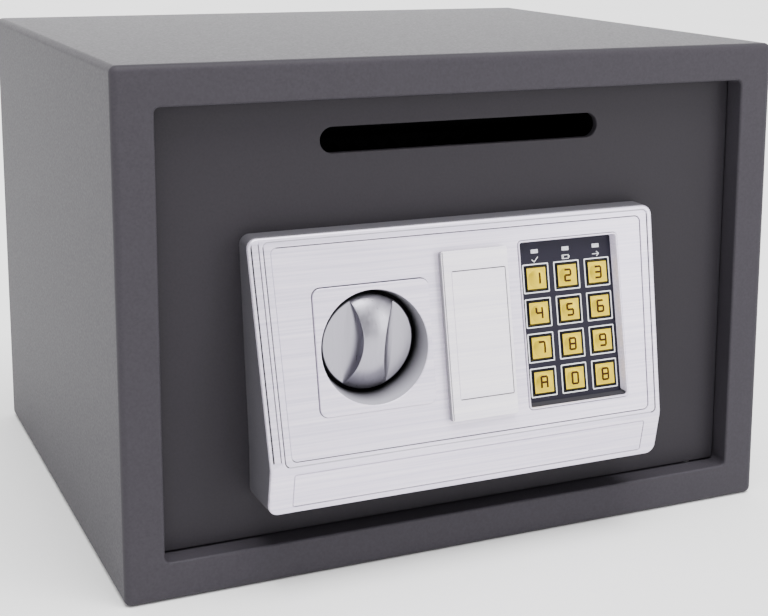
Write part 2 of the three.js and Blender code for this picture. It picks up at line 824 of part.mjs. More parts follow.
// A solid through rings of equal count, closed by a flat fan at both ends
function loft(rings) {
  const count = rings[0].length;
  const points = rings.flat();
  const triangles = [];
  for (let r = 0; r + 1 < rings.length; r += 1) {
    for (let i = 0; i < count; i += 1) {
      const a = r * count + i;
      const b = r * count + ((i + 1) % count);
      triangles.push(a, a + count, b, b, a + count, b + count);
    }
  }
  const last = (rings.length - 1) * count;
  for (let i = 1; i + 1 < count; i += 1) {
    triangles.push(0, i, i + 1);
    triangles.push(last, last + i + 1, last + i);
  }
  const geometry = new THREE.BufferGeometry().setFromPoints(points);
  geometry.setIndex(triangles);
  return geometry;
}

// The knob's well: round on the tilted face at its rim, round and upright at its inner mouth
function wellCone(extra, rimDepth, mouthY) {
  const rim = [];
  const mouth = [];
  for (let i = 0; i < fineFacets; i += 1) {
    const angle = (i / fineFacets) * 2 * Math.PI;
    const across = Math.cos(angle);
    const up = Math.sin(angle);
    const onRim = new THREE.Vector3(
      knobAcross + (wellRadius + extra) * across,
      rimDepth,
      knobDown + (wellRadius + extra) * up,
    );
    rim.push(onRim.applyMatrix4(face.matrixWorld));
    const radius = wellMouthRadius + extra;
    mouth.push(new THREE.Vector3(knobX + radius * across, mouthY, knobZ + radius * up));
  }
  return loft([rim, mouth]);
}

function knobEscutcheon() {
  const outline = centredRect(knobAcross, knobDown, plateWidth, plateHeight, plateRadius);
  const mouthY = doorFront - wellProtrusion;
  const plate = solid(onFace(alongY(outline, 0, bezelSheet)));
  const bowl = solid(wellCone(wellWall, fieldDepth, mouthY));
  const inside = solid(wellCone(0, 0, mouthY));
  const through = rodY(wellMouthRadius, knobX, knobZ, mouthY - sliver, mouthY + cutPast, fineFacets);
  const above = onFace(rodY(wellRadius, knobAcross, knobDown, -cutPast, sliver, fineFacets));
  return cut(plate.add(bowl).subtract(inside), through, above);
}

place(safe, "panel_housing", panelHousing(), darkPlastic);
place(safe, "panel_bezel", panelBezel(), silverPlastic);
place(safe, "knob_escutcheon", knobEscutcheon(), silverPlastic);

// Key cover: a pull-off plate with two clips

function keyCover() {
  const x = keyCoverAcross;
  const z = keyCoverMiddle;
  const back = fieldDepth - seatGap;
  const plate = alongY(centredRect(x, z, keyCoverWidth, keyCoverHeight, softCorner), -keyCoverRise, back);
  const field = centredRect(x, z, keyCoverFieldWidth, keyCoverFieldHeight, softCorner);
  const clipX = keyHatchWidth / 2 - housingFront - runGap;
  const clips = [-1, 1].map((side) => {
    const outer = x + side * clipX;
    const inner = outer - side * clipWidth;
    const low = Math.min(outer, inner);
    const high = Math.max(outer, inner);
    return block(low, high, back - cutPast, clipLength - cutPast, z - clipHeight / 2, z + clipHeight / 2);
  });
  return cut(
    join(plate, ...clips),
    alongY(field, -keyCoverRise - cutPast, -keyCoverRise + keyCoverFieldDepth),
  );
}

place(face, "key_cover", keyCover(), silverPlastic);

// Keypad, from the front: plate with keys and lenses, rubber membrane, circuit board

const padFront = windowDepth + seatGap;
const padBack = padFront + padSheet;
const flangeFront = padBack + seatGap;
const flangeBack = flangeFront + keyFlangeSheet;
const membraneFront = flangeBack + keyTravel + keyStopGap;
const boardFront = membraneFront + membraneSheet + seatGap;
const windowTopZ = -windowTop;
const keyNames = ["1", "2", "3", "4", "5", "6", "7", "8", "9", "a", "0", "b"];

function keyCentre(i) {
  const column = (i % 3) - 1;
  const row = Math.floor(i / 3);
  return [windowAcross + column * keyPitchX, windowTopZ - keyRowsTop - row * keyPitchZ];
}

function lensCentre(column) {
  return [windowAcross + column * keyPitchX, windowTopZ - lensTop];
}

function keypadPlate() {
  const outline = centredRect(
    windowAcross,
    windowMiddle,
    windowWidth + 2 * padOverlap,
    windowHeight + 2 * padOverlap,
    keyCorner,
  );
  const holes = keyNames.map((_, i) => {
    const [x, z] = keyCentre(i);
    const size = keySize + 2 * runGap;
    return alongY(centredRect(x, z, size, size, keyCorner), padFront - cutPast, padBack + cutPast, 1);
  });
  const lensHoles = [-1, 0, 1].map((column) => {
    const [x, z] = lensCentre(column);
    const width = lensWidth + 2 * seatGap;
    const height = lensHeight + 2 * seatGap;
    return block(
      x - width / 2,
      x + width / 2,
      padFront - cutPast,
      padBack + cutPast,
      z - height / 2,
      z + height / 2,
    );
  });
  return cut(solid(alongY(outline, padFront, padBack)), ...holes, ...lensHoles);
}

// Height of a round dome of a given rim radius and rise, at a distance from its middle
function domeHeight(distance, rim, rise) {
  const sphere = (rim ** 2 + rise ** 2) / (2 * rise);
  return Math.sqrt(sphere ** 2 - distance ** 2) - sphere + rise;
}

function keyCap(i) {
  const [x, z] = keyCentre(i);
  const top = centredRect(x, z, keySize, keySize, keyCorner);
  const cap = alongY(top, padFront - keyRise, flangeFront + bite, 1);
  const size = keySize + 2 * keyFlange;
  const flange = block(x - size / 2, x + size / 2, flangeFront, flangeBack, z - size / 2, z + size / 2);
  const middle = keyDomeRadius / 2;
  const profile = [
    [0, -bite],
    [keyDomeRadius, -bite],
    [keyDomeRadius, 0],
    [middle, domeHeight(middle, keyDomeRadius, keyDome)],
    [0, keyDome],
  ];
  const dome = turned(profile, smallFacets);
  dome.rotateX(Math.PI);
  dome.translate(x, padFront - keyRise, z);
  return join(cap, flange, dome);
}

function lensStrip() {
  const lenses = [-1, 0, 1].map((column) => {
    const [x, z] = lensCentre(column);
    return block(
      x - lensWidth / 2,
      x + lensWidth / 2,
      padFront - lensRise,
      flangeFront + bite,
      z - lensHeight / 2,
      z + lensHeight / 2,
    );
  });
  const [left, z] = lensCentre(-1);
  const [right] = lensCentre(1);
  const bar = block(
    left - lensWidth,
    right + lensWidth,
    flangeFront,
    flangeFront + lensBar,
    z - lensHeight,
    z + lensHeight,
  );
  return join(bar, ...lenses);
}

function keypadSheet(front, thickness) {
  const width = windowWidth + 2 * padOverlap;
  const height = windowHeight + 2 * padOverlap;
  const outline = centredRect(windowAcross, windowMiddle, width, height, keyCorner);
  return alongY(outline, front, front + thickness, 1);
}

function membrane() {
  const room = lensHeight + seatGap;
  const [left, z] = lensCentre(-1);
  const [right] = lensCentre(1);
  const lensRoom = block(
    left - lensWidth - seatGap,
    right + lensWidth + seatGap,
    membraneFront - cutPast,
    membraneFront + membraneSheet + cutPast,
    z - room,
    z + room,
  );
  return cut(solid(keypadSheet(membraneFront, membraneSheet)), lensRoom);
}

place(face, "keypad_plate", keypadPlate(), navyLabel);
keyNames.forEach((name, i) => place(face, `key_${name}`, keyCap(i), goldKey));
place(face, "lens_strip", lensStrip(), paleLens);
place(face, "keypad_membrane", membrane(), rubber);
place(face, "keypad_board", keypadSheet(boardFront, boardSheet), boardGreen);

// Knob, spindle and cam

const knobRimY = doorFront - knobProtrusion;
const knobBackY = knobRimY + knobSkirt;
const camFront = doorBack + camBehindDoor;
const camBack = camFront + camSheet;

function knob() {
  const profile = [[0, knobSkirt], [knobRadius, knobSkirt], [knobRadius, knobEdge]];
  for (let i = gripSteps; i >= 0; i -= 1) {
    const distance = ((knobRadius - knobEdge) * i) / gripSteps;
    profile.push([distance, -domeHeight(distance, knobRadius, gripRise)]);
  }
  profile.reverse();
  const domed = solid(turned(profile, fineFacets));
  const reach = gripWaist / 2 + gripCurve;
  const sides = [-1, 1].map((side) => rodY(gripCurve, side * reach, 0, -gripRise - cutPast, 0, gripFacets));
  const grip = geometryOf(cut(domed, ...sides));
  grip.rotateY(gripLean);
  grip.translate(knobX, knobRimY, knobZ);
  return grip;
}

function camSpindle() {
  const start = knobRange / 2; // the pin stands this far right of the top when the bolts are in
  const pinX = knobX + crankRadius * Math.sin(start);
  const pinZ = knobZ + crankRadius * Math.cos(start);
  return join(
    rodY(spindleRadius, knobX, knobZ, knobBackY, camFront + cutPast, smallFacets),
    rodY(camRadius, knobX, knobZ, camFront, camBack),
    rodY(crankPinRadius, pinX, pinZ, camBack - cutPast, boltY + boltSheet / 2 + crankPinPast, smallFacets),
  );
}

function knobBush() {
  const inner = spindleRadius + runGap;
  const outer = spindleRadius + knobBushWall + runGap;
  const flange = outer + knobBushFlange;
  const front = doorFront - seatGap - knobBushSheet;
  const profile = [
    [inner, front],
    [flange, front],
    [flange, doorFront - seatGap],
    [outer, doorFront - seatGap],
    [outer, frameBack],
    [inner, frameBack],
    [inner, front],
  ];
  const bush = turned(profile);
  bush.translate(knobX, 0, knobZ);
  return bush;
}

place(safe, "knob", knob(), brightSteel);
place(safe, "cam_spindle", camSpindle(), zinc);
place(safe, "knob_bush", knobBush(), brass);

// Bolts, bolt plate and the frame that guides them

const boltZ = [knobZ - boltSpread / 2, knobZ + boltSpread / 2];
const boltRear = knobX - boltEnd;
const studX = knobX - studAside;
const tongueBottom = knobZ - tongueDrop;
const studZ = [knobZ - studSpread / 2, knobZ + studSpread / 2];
const plateFront = boltY - boltSheet / 2;
const plateBack = boltY + boltSheet / 2;

function bolt(z) {
  const length = boltRear + openingRight - boltInset;
  const profile = [
    [0, 0],
    [boltRadius, 0],
    [boltRadius, length - boltChamfer],
    [boltRadius - boltChamfer, length],
    [0, length],
  ];
  const rod = turned(profile);
  rod.rotateZ(Math.PI / 2);
  rod.translate(boltRear, boltY, z);
  return rod;
}

function boltPlate() {
  const low = boltZ[0] - columnMargin;
  const high = boltZ[1] + columnMargin;
  const columnRight = boltRear + columnWidth;
  const tongueRight = columnRight + tongueLength;
  const tongueTop = tongueBottom + tongueHeight;
  const half = plungerTipRadius + runGap;
  const notchTop = tongueBottom + notchDepth;
  const second = solenoidX + boltThrow;
  const outline = polygon([
    [boltRear, low],
    [columnRight, low],
    [columnRight, tongueBottom],
    [solenoidX - half, tongueBottom],
    [solenoidX - half, notchTop],
    [solenoidX + half, notchTop],
    [solenoidX + half, tongueBottom],
    [second - half, tongueBottom],
    [second - half, notchTop],
    [second + half, notchTop],
    [second + half, tongueBottom],
    [tongueRight, tongueBottom],
    [tongueRight, tongueTop],
    [columnRight, tongueTop],
    [columnRight, high],
    [boltRear, high],
  ]);
  const near = plateFront - cutPast;
  const far = plateBack + cutPast;
  const rest = knobRange / 2;
  const slotX = knobX + crankRadius * Math.sin(rest);
  const slotLow = knobZ + crankRadius * Math.cos(rest) - crankPinRadius - 2 * crankPinPlay;
  const slotHigh = knobZ + crankRadius + crankPinRadius + 2 * crankPinPlay;
  const slotHalf = crankPinRadius + crankPinPlay;
  const crankSlot = roundedRect(slotX - slotHalf, slotX + slotHalf, slotLow, slotHigh, slotHalf - sliver);
  const studHalf = studRadius + runGap;
  const slotLeft = studX - studHalf;
  const slotRight = studX + boltThrow + studHalf;
  const guideSlots = studZ.map((z) =>
    alongY(roundedRect(slotLeft, slotRight, z - studHalf, z + studHalf, studHalf - sliver), near, far),
  );
  return cut(solid(alongY(outline, plateFront, plateBack)), alongY(crankSlot, near, far), ...guideSlots);
}

function lockFrame() {
  const frameRight = panelX + frameAcross;
  const frameBottom = frameTop - frameHeight;
  const sheet = block(frameLeft, frameRight, doorBack, frameBack, frameBottom, frameTop);
  const guideRear = boltY + boltRadius + guideMargin;
  const guide = block(frameLeft, frameLeft + boltGuideSheet, doorBack, guideRear, frameBottom, frameTop);
  const near = doorBack - cutPast;
  const far = frameBack + cutPast;
  const bores = boltZ.map((z) => {
    const bore = new THREE.CylinderGeometry(
      boltRadius + runGap,
      boltRadius + runGap,
      boltGuideSheet + 2 * cutPast,
      roundFacets,
    );
    bore.rotateZ(Math.PI / 2);
    bore.translate(frameLeft + boltGuideSheet / 2, boltY, z);
    return bore;
  });
  return cut(
    join(sheet, guide),
    ...bores,
    rodY(spindleRadius + knobBushWall + 2 * runGap, knobX, knobZ, near, far),
    rodY(lockRadius + runGap, lockX, lockZ, near, far),
  );
}

function guideStud(z) {
  const profile = [
    [0, frameBack],
    [studRadius, frameBack],
    [studRadius, plateBack + seatGap],
    [studHeadRadius, plateBack + seatGap],
    [studHeadRadius, plateBack + seatGap + studHead],
    [0, plateBack + seatGap + studHead],
  ];
  const stud = turned(profile, smallFacets);
  stud.translate(studX, 0, z);
  return stud;
}

place(safe, "lock_frame", lockFrame(), zinc);
place(safe, "guide_stud_lower", guideStud(studZ[0]), brightSteel);
place(safe, "guide_stud_upper", guideStud(studZ[1]), brightSteel);
place(safe, "bolt_plate", boltPlate(), zinc);
place(safe, "bolt_lower", bolt(boltZ[0]), brightSteel);
place(safe, "bolt_upper", bolt(boltZ[1]), brightSteel);

// Solenoid under the bolt plate: its plunger stands drawn in at rest, below the first notch

const plungerTop = tongueBottom - plungerTipGap;
const collarTop = plungerTop - plungerTravel - plungerTipGap / 2;
const coilFrameTop = collarTop - collarSheet - springRoom;
const coilTop = coilFrameTop - coilFrameSheet;
const coilBottom = coilTop - coilLength;
const coilFrameBottom = coilBottom - coilFrameSheet;
const coilFrameRear = boltY + coilRadius;

function solenoidFrame() {
  const left = solenoidX - coilFrameWidth / 2;
  const right = solenoidX + coilFrameWidth / 2;
  const back = block(left, right, frameBack, frameBack + coilFrameSheet / 2, coilFrameBottom, coilFrameTop);
  const top = block(left, right, frameBack, coilFrameRear, coilTop, coilFrameTop);
  const bottom = block(left, right, frameBack, coilFrameRear, coilFrameBottom, coilBottom);
  const boreEnds = [coilFrameBottom - cutPast, coilFrameTop + cutPast];
  const bore = rodZ(plungerRadius + runGap, solenoidX, boltY, ...boreEnds);
  return cut(join(back, top, bottom), bore);
}

function solenoidCoil() {
  const inner = plungerRadius + runGap;
  const low = coilBottom + seatGap / 2;
  const high = coilTop - seatGap / 2;
  const coil = turned([[inner, low], [coilRadius, low], [coilRadius, high], [inner, high], [inner, low]]);
  coil.rotateX(Math.PI / 2);
  coil.rotateX(Math.PI);
  coil.translate(solenoidX, boltY, low + high);
  return coil;
}

function plunger() {
  const collarBottom = collarTop - collarSheet;
  const rod = [coilFrameBottom - plungerTail, collarBottom + bite];
  return join(
    rodZ(plungerRadius, solenoidX, boltY, ...rod, smallFacets),
    rodZ(collarRadius, solenoidX, boltY, collarBottom, collarTop, smallFacets),
    rodZ(plungerTipRadius, solenoidX, boltY, collarBottom, plungerTop, smallFacets),
  );
}

// One unbroken tube, wound round the plunger
function plungerSpring() {
  const steps = springCurls * springSteps;
  const middle = (plungerRadius + runGap + springWire / 2) / Math.cos(Math.PI / springSteps);
  const low = coilFrameTop + springWire / 2 + springSeat;
  const high = collarTop - collarSheet - springWire / 2 - springSeat;
  const rings = [];
  for (let i = 0; i <= steps; i += 1) {
    const angle = (i / springSteps) * 2 * Math.PI;
    const z = low + ((high - low) * i) / steps;
    const ring = [];
    for (let j = 0; j < springSides; j += 1) {
      const round = (j / springSides) * 2 * Math.PI;
      const r = middle + (springWire / 2) * Math.cos(round);
      ring.push(
        new THREE.Vector3(
          solenoidX + r * Math.cos(angle),
          boltY + r * Math.sin(angle),
          z + (springWire / 2) * Math.sin(round),
        ),
      );
    }
    rings.push(ring);
  }
  const curlRise = (high - low) / springCurls;
  console.log(`least gap between the spring's curls: ${(curlRise - springWire).toFixed(2)} mm`);
  return loft(rings);
}

place(safe, "solenoid_frame", solenoidFrame(), zinc);
place(safe, "solenoid_coil", solenoidCoil(), copper);
place(safe, "plunger", plunger(), brightSteel);
place(safe, "plunger_spring", plungerSpring(), brightSteel);

// Override lock: barrel through the door, plug with its lever, and the nut that holds it

const lockFront = faceY(lockZ) + lockSetback;
const leverBack = boltY - plungerTipRadius - runGap;
const lockRear = leverBack - leverSheet;

// After its full turn the lever's round end stands just over the collar of the drawn-in plunger
const leverDrop = lockZ - leverWidth / 2 - collarTop - plungerTipGap / 2;
const leverLength = leverDrop / -Math.sin(leverRest + leverTurn) + leverWidth / 2;

function lockBarrel() {
  const inner = plugRadius + runGap;
  const barrel = turned([
    [inner, lockFront],
    [lockRadius, lockFront],
    [lockRadius, lockRear],
    [inner, lockRear],
    [inner, lockFront],
  ]);
  barrel.translate(lockX, 0, lockZ);
  return barrel;
}

function lockNut() {
  const front = frameBack;
  const back = front + lockNutSheet;
  const nut = rodY(lockNutWidth / 2 / Math.cos(Math.PI / 6), lockX, lockZ, front, back, 6);
  return cut(solid(nut), rodY(lockRadius + runGap, lockX, lockZ, front - cutPast, back + cutPast));
}

function overridePlug() {
  const keyway = block(
    lockX - keywayWidth / 2,
    lockX + keywayWidth / 2,
    lockFront - cutPast,
    lockFront + keywayDepth,
    lockZ - keywayHeight / 2,
    lockZ + keywayHeight / 2,
  );
  return cut(solid(rodY(plugRadius, lockX, lockZ, lockFront, lockRear, smallFacets + 4)), keyway);
}

function overrideLever() {
  const lever = alongY(
    roundedRect(-leverWidth / 2, leverLength, -leverWidth / 2, leverWidth / 2, leverWidth / 2 - sliver),
    lockRear,
    leverBack,
  );
  lever.rotateY(-leverRest);
  lever.translate(lockX, 0, lockZ);
  return lever;
}

place(safe, "lock_barrel", lockBarrel(), zinc);
place(safe, "lock_nut", lockNut(), zinc);
place(safe, "override_plug", overridePlug(), brass);
place(safe, "override_lever", overrideLever(), zinc);

// Inner cover over the mechanism, with its nuts

const trayWidth = cellLength + cellNub + 2 * trayEnd;
const trayHeight = cellCount * cellPitch + 2 * trayWall;
const trayBack = coverBack - coverSheet - seatGap;
const trayDepth = 2 * cellRadius + trayWall + seatGap;
const bayWidth = cellLength + cellNub + cellEndRoom;
const bayHeight = cellCount * cellPitch;
const boardY = coverBack - boardSetback;
const boardLeft = panelX + boardAcross - boardWidth / 2;
const boardRight = boardLeft + boardWidth;
const boardTop = panelTop - boardBelow;
const boardBottom = boardTop - boardHeight;
const boardPosts = [boardLeft + boardPostInset, boardRight - boardPostInset].flatMap((x) =>
  [boardBottom + boardPostInset, boardTop - boardPostInset].map((z) => [x, z]),
);

function innerCover() {
  const shell = block(coverLeft, coverRight, coverFront, coverBack, coverBottom, coverTop);
  const inside = block(
    coverLeft + coverSheet,
    coverRight - coverSheet,
    coverFront - cutPast,
    coverBack - coverSheet,
    coverBottom + coverSheet,
    coverTop - coverSheet,
  );
  const flangeFrontY = doorBack + seatGap;
  const flange = block(
    coverLeft,
    coverRight,
    flangeFrontY,
    coverFront + coverSheet / 2,
    coverBottom - coverFlange,
    coverTop + coverFlange,
  );
  const flangeRoom = block(
    coverLeft - cutPast,
    coverRight + cutPast,
    flangeFrontY - cutPast,
    coverBack,
    coverBottom + coverSheet,
    coverTop - coverSheet,
  );
  const rims = solid(flange).subtract(solid(flangeRoom));
  const boltNotches = boltZ.map((z) =>
    alongX(
      roundedRect(
        coverFront - 2 * boltRadius,
        boltY + boltRadius + runGap,
        z - boltRadius - runGap,
        z + boltRadius + runGap,
        boltRadius,
      ),
      coverLeft - cutPast,
      coverLeft + coverSheet + cutPast,
    ),
  );
  const studHoles = coverStudZ.map((z) =>
    rodY(coverStudRadius + runGap, coverStudX, z, doorBack - cutPast, coverFront + 2 * cutPast, smallFacets),
  );
  const window = block(
    bayX - bayWidth / 2,
    bayX + bayWidth / 2,
    coverBack - 2 * coverSheet,
    coverBack + cutPast,
    bayZ - bayHeight / 2,
    bayZ + bayHeight / 2,
  );
  const hollow = cut(solid(shell), inside).add(rims);
  const posts = boardPosts.map(([x, z]) =>
    rodY(boardPostRadius, x, z, boardY + boardSheet, coverBack - coverSheet / 2, smallFacets),
  );
  const posted = posts.reduce((sum, post) => sum.add(solid(post)), hollow);
  return cut(
    posted,
    ...boltNotches,
    ...studHoles,
    window,
    rodY(resetRadius + runGap, resetX, resetZ, coverBack - 2 * coverSheet, coverBack + cutPast, smallFacets),
  );
}

function coverNut(z) {
  const front = coverFront + coverSheet / 2 + seatGap;
  const back = front + coverNutHeight;
  const nut = rodY(coverNutWidth / 2 / Math.cos(Math.PI / 6), coverStudX, z, front, back, 6);
  const hole = rodY(coverStudRadius + seatGap, coverStudX, z, front - cutPast, back + cutPast, smallFacets);
  return cut(solid(nut), hole);
}

place(safe, "inner_cover", innerCover(), blackPlastic);
place(safe, "cover_nut_lower", coverNut(coverStudZ[0]), zinc);
place(safe, "cover_nut_upper", coverNut(coverStudZ[1]), zinc);

// Batteries in their holder, under a hinged lid

function cellZ(i) {
  return bayZ + (i - (cellCount - 1) / 2) * cellPitch;
}

const cellY = trayBack - cellRadius - seatGap / 2;

function batteryHolder() {
  const tray = block(
    bayX - trayWidth / 2,
    bayX + trayWidth / 2,
    trayBack - trayDepth,
    trayBack,
    bayZ - trayHeight / 2,
    bayZ + trayHeight / 2,
  );
  const trough = cellRadius + runGap;
  const troughs = Array.from({ length: cellCount }, (_, i) => {
    const channel = new THREE.CylinderGeometry(trough, trough, bayWidth, roundFacets);
    channel.rotateZ(Math.PI / 2);
    channel.translate(bayX, cellY, cellZ(i));
    return channel;
  });
  const mouths = Array.from({ length: cellCount }, (_, i) =>
    block(
      bayX - bayWidth / 2,
      bayX + bayWidth / 2,
      cellY,
      trayBack + cutPast,
      cellZ(i) - trough,
      cellZ(i) + trough,
    ),
  );
  return cut(solid(tray), ...troughs, ...mouths);
}

function batteryCell(i) {
  const half = cellLength / 2;
  const cell = turned([
    [0, -half],
    [cellRadius, -half],
    [cellRadius, half - cellNub],
    [cellNubRadius, half - cellNub],
    [cellNubRadius, half],
    [0, half],
  ]);
  const turn = i % 2 === 0 ? 1 : -1;
  cell.rotateZ((turn * Math.PI) / 2);
  cell.translate(bayX, cellY, cellZ(i));
  return cell;
}

function batteryLid() {
  const front = coverBack + seatGap;
  const halfWidth = bayWidth / 2 + lidOverlap;
  const halfHeight = bayHeight / 2 + lidOverlap;
  return alongY(
    roundedRect(bayX - halfWidth, bayX + halfWidth, bayZ - halfHeight, bayZ + halfHeight, lidOverlap / 2),
    front,
    front + lidSheet,
  );
}

place(safe, "battery_holder", batteryHolder(), blackPlastic);
for (let i = 0; i < cellCount; i += 1) place(safe, `battery_${i + 1}`, batteryCell(i), cellWrap);
place(safe, "battery_lid", batteryLid(), blackPlastic);

// Control board with the reset switch, and the reset button through the cover

const boardRear = boardY + boardSheet - seatGap;
const switchTop = boardRear + resetSwitchHeight;

function controlBoard() {
  const sheet = block(boardLeft, boardRight, boardY, boardRear, boardBottom, boardTop);
  const half = resetSwitchSize / 2;
  const switchBox = block(
    resetX - half,
    resetX + half,
    boardY + boardSheet / 2,
    switchTop,
    resetZ - half,
    resetZ + half,
  );
  return join(sheet, switchBox);
}

function resetButton() {
  const flangeRear = coverBack - coverSheet - seatGap;
  const stemEnd = switchTop + resetSwitchGap + resetTravel;
  return join(
    rodY(resetRadius, resetX, resetZ, stemEnd, coverBack + resetRise, smallFacets),
    rodY(resetRadius + resetFlangeReach, resetX, resetZ, flangeRear - resetFlange, flangeRear, smallFacets),
  );
}

place(safe, "control_board", controlBoard(), boardGreen);
place(safe, "reset_button", resetButton(), redPlastic);

// Ribbon cable, held by its plugs at both ends

function ribbonCable() {
  const start = faceY(ribbonZ) + (boardFront + boardSheet) / Math.cos(faceTilt) + 2 * seatGap;
  const turnY = boardY - seatGap - ribbonRun;
  const low = ribbonZ - ribbonSheet / 2;
  const high = ribbonZ + ribbonSheet / 2;
  const plugTop = boardBottom + 2 * ribbonRun;
  const profile = polygon([
    [start, low],
    [turnY + ribbonSheet, low],
    [turnY + ribbonSheet, plugTop - ribbonRun],
    [boardY - seatGap, plugTop - ribbonRun],
    [boardY - seatGap, plugTop],
    [turnY, plugTop],
    [turnY, high],
    [start, high],
  ]);
  return alongX(profile, ribbonX - ribbonWidth / 2, ribbonX + ribbonWidth / 2);
}

place(safe, "ribbon_cable", ribbonCable(), feltGrey);

export default safe;
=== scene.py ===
import json
from math import atan2, cos, hypot, pi, radians, sin, sqrt, tan

import bmesh
import bpy
from mathutils import Matrix, Vector
from mathutils.geometry import delaunay_2d_cdt


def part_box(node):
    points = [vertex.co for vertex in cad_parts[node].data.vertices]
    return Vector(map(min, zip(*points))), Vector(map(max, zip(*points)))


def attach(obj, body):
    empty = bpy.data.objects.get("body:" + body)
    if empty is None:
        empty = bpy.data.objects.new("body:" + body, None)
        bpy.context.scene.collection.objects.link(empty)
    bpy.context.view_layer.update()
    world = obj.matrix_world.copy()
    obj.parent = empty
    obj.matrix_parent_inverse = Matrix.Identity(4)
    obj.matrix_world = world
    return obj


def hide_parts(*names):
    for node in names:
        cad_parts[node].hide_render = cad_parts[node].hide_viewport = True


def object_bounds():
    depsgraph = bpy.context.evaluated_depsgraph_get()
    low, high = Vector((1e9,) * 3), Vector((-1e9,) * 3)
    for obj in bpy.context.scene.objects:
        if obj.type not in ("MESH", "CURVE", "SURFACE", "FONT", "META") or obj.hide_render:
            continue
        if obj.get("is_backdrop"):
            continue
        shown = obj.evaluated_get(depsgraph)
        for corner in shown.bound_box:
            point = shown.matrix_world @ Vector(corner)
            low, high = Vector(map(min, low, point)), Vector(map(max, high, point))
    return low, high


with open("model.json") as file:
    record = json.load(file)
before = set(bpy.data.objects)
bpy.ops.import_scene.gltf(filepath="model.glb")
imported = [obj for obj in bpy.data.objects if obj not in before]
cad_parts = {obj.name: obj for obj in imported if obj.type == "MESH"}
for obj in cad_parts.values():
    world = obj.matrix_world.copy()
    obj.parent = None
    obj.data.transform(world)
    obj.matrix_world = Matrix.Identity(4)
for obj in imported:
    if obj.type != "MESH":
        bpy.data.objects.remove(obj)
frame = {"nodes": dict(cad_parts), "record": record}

CAD_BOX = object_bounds()
MM = 0.001

# All sizes are in millimetres, in the frame of the solids: X right, Y into the safe, Z up


def span(node):
    """A node's lowest and highest corners, in millimetres."""
    low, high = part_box(node)
    return low / MM, high / MM


def middle_and_half(node):
    """A node's middle and half its size, in millimetres."""
    low, high = span(node)
    return (low + high) / 2, (high - low) / 2


body_low, body_high = span("body_shell")
door_low, door_high = span("door_plate")
bezel_low, bezel_high = span("panel_bezel")
knob_low, knob_high = span("knob")
cover_low, cover_high = span("inner_cover")
lid_low, lid_high = span("battery_lid")

# Body
WALL = 2.0
BEND = 3.5
FLANGE = 19.0
LIP_DEPTH = 20.0
LIP_FOLD = 1.2
OPENING_RADIUS = 2.5
REAR_FOLD = 12.0
SHARP = 0.3
BEND_STEPS = 6
STOP_WIDTH = 20.0
STOP_REACH = 6.0

# Door
DOOR_SHEET = 4.0
DOOR_RADIUS = 2.0
DOOR_EDGE = 0.5
DOOR_FRONT = door_low.y
DOOR_BACK = DOOR_FRONT + DOOR_SHEET
SLOT_LENGTH = 150.0
SLOT_HEIGHT = 12.5
SLOT_BELOW = 39.6
STUD_RADIUS = 2.0
STUD_CHAMFER = 0.4

# Lock panel
PANEL_X = (bezel_low.x + bezel_high.x) / 2
PANEL_WIDTH = bezel_high.x - bezel_low.x
PANEL_TOP = bezel_high.z
PANEL_BOTTOM = bezel_low.z
PANEL_RADIUS = 5.0
PANEL_TAPER = 3.6
FACE_FALL = 105.0
TOP_PROUD = 12.0
KINK_PROUD = DOOR_FRONT - bezel_low.y
BOTTOM_PROUD = 28.0
BEZEL_SHEET = 2.2
HOUSING_GAP = 0.3
RUN_GAP = 0.3
WELL_PROUD = 11.5
# Depths in from the well's mouth over which its painted shade goes from black to the wall's grey
WELL_DARK = 1.2
WELL_LIGHT = 13.0
BEND_REACH = 2.0
KINK_Z = PANEL_TOP - FACE_FALL
TILT = atan2(KINK_PROUD - TOP_PROUD, FACE_FALL)
FACE_LENGTH = FACE_FALL / cos(TILT)
SLOPE_TILT = atan2(KINK_PROUD - BOTTOM_PROUD, KINK_Z - PANEL_BOTTOM)
SLOPE_LENGTH = (KINK_Z - PANEL_BOTTOM) / cos(SLOPE_TILT)

# Meshes
SHARP_ANGLE = 35.0
EDGE_STEPS = 4
MERGE_REACH = 2e-6


def linked(name, data):
    """A new object in the scene."""
    obj = bpy.data.objects.new(name, data)
    bpy.context.scene.collection.objects.link(obj)
    return obj


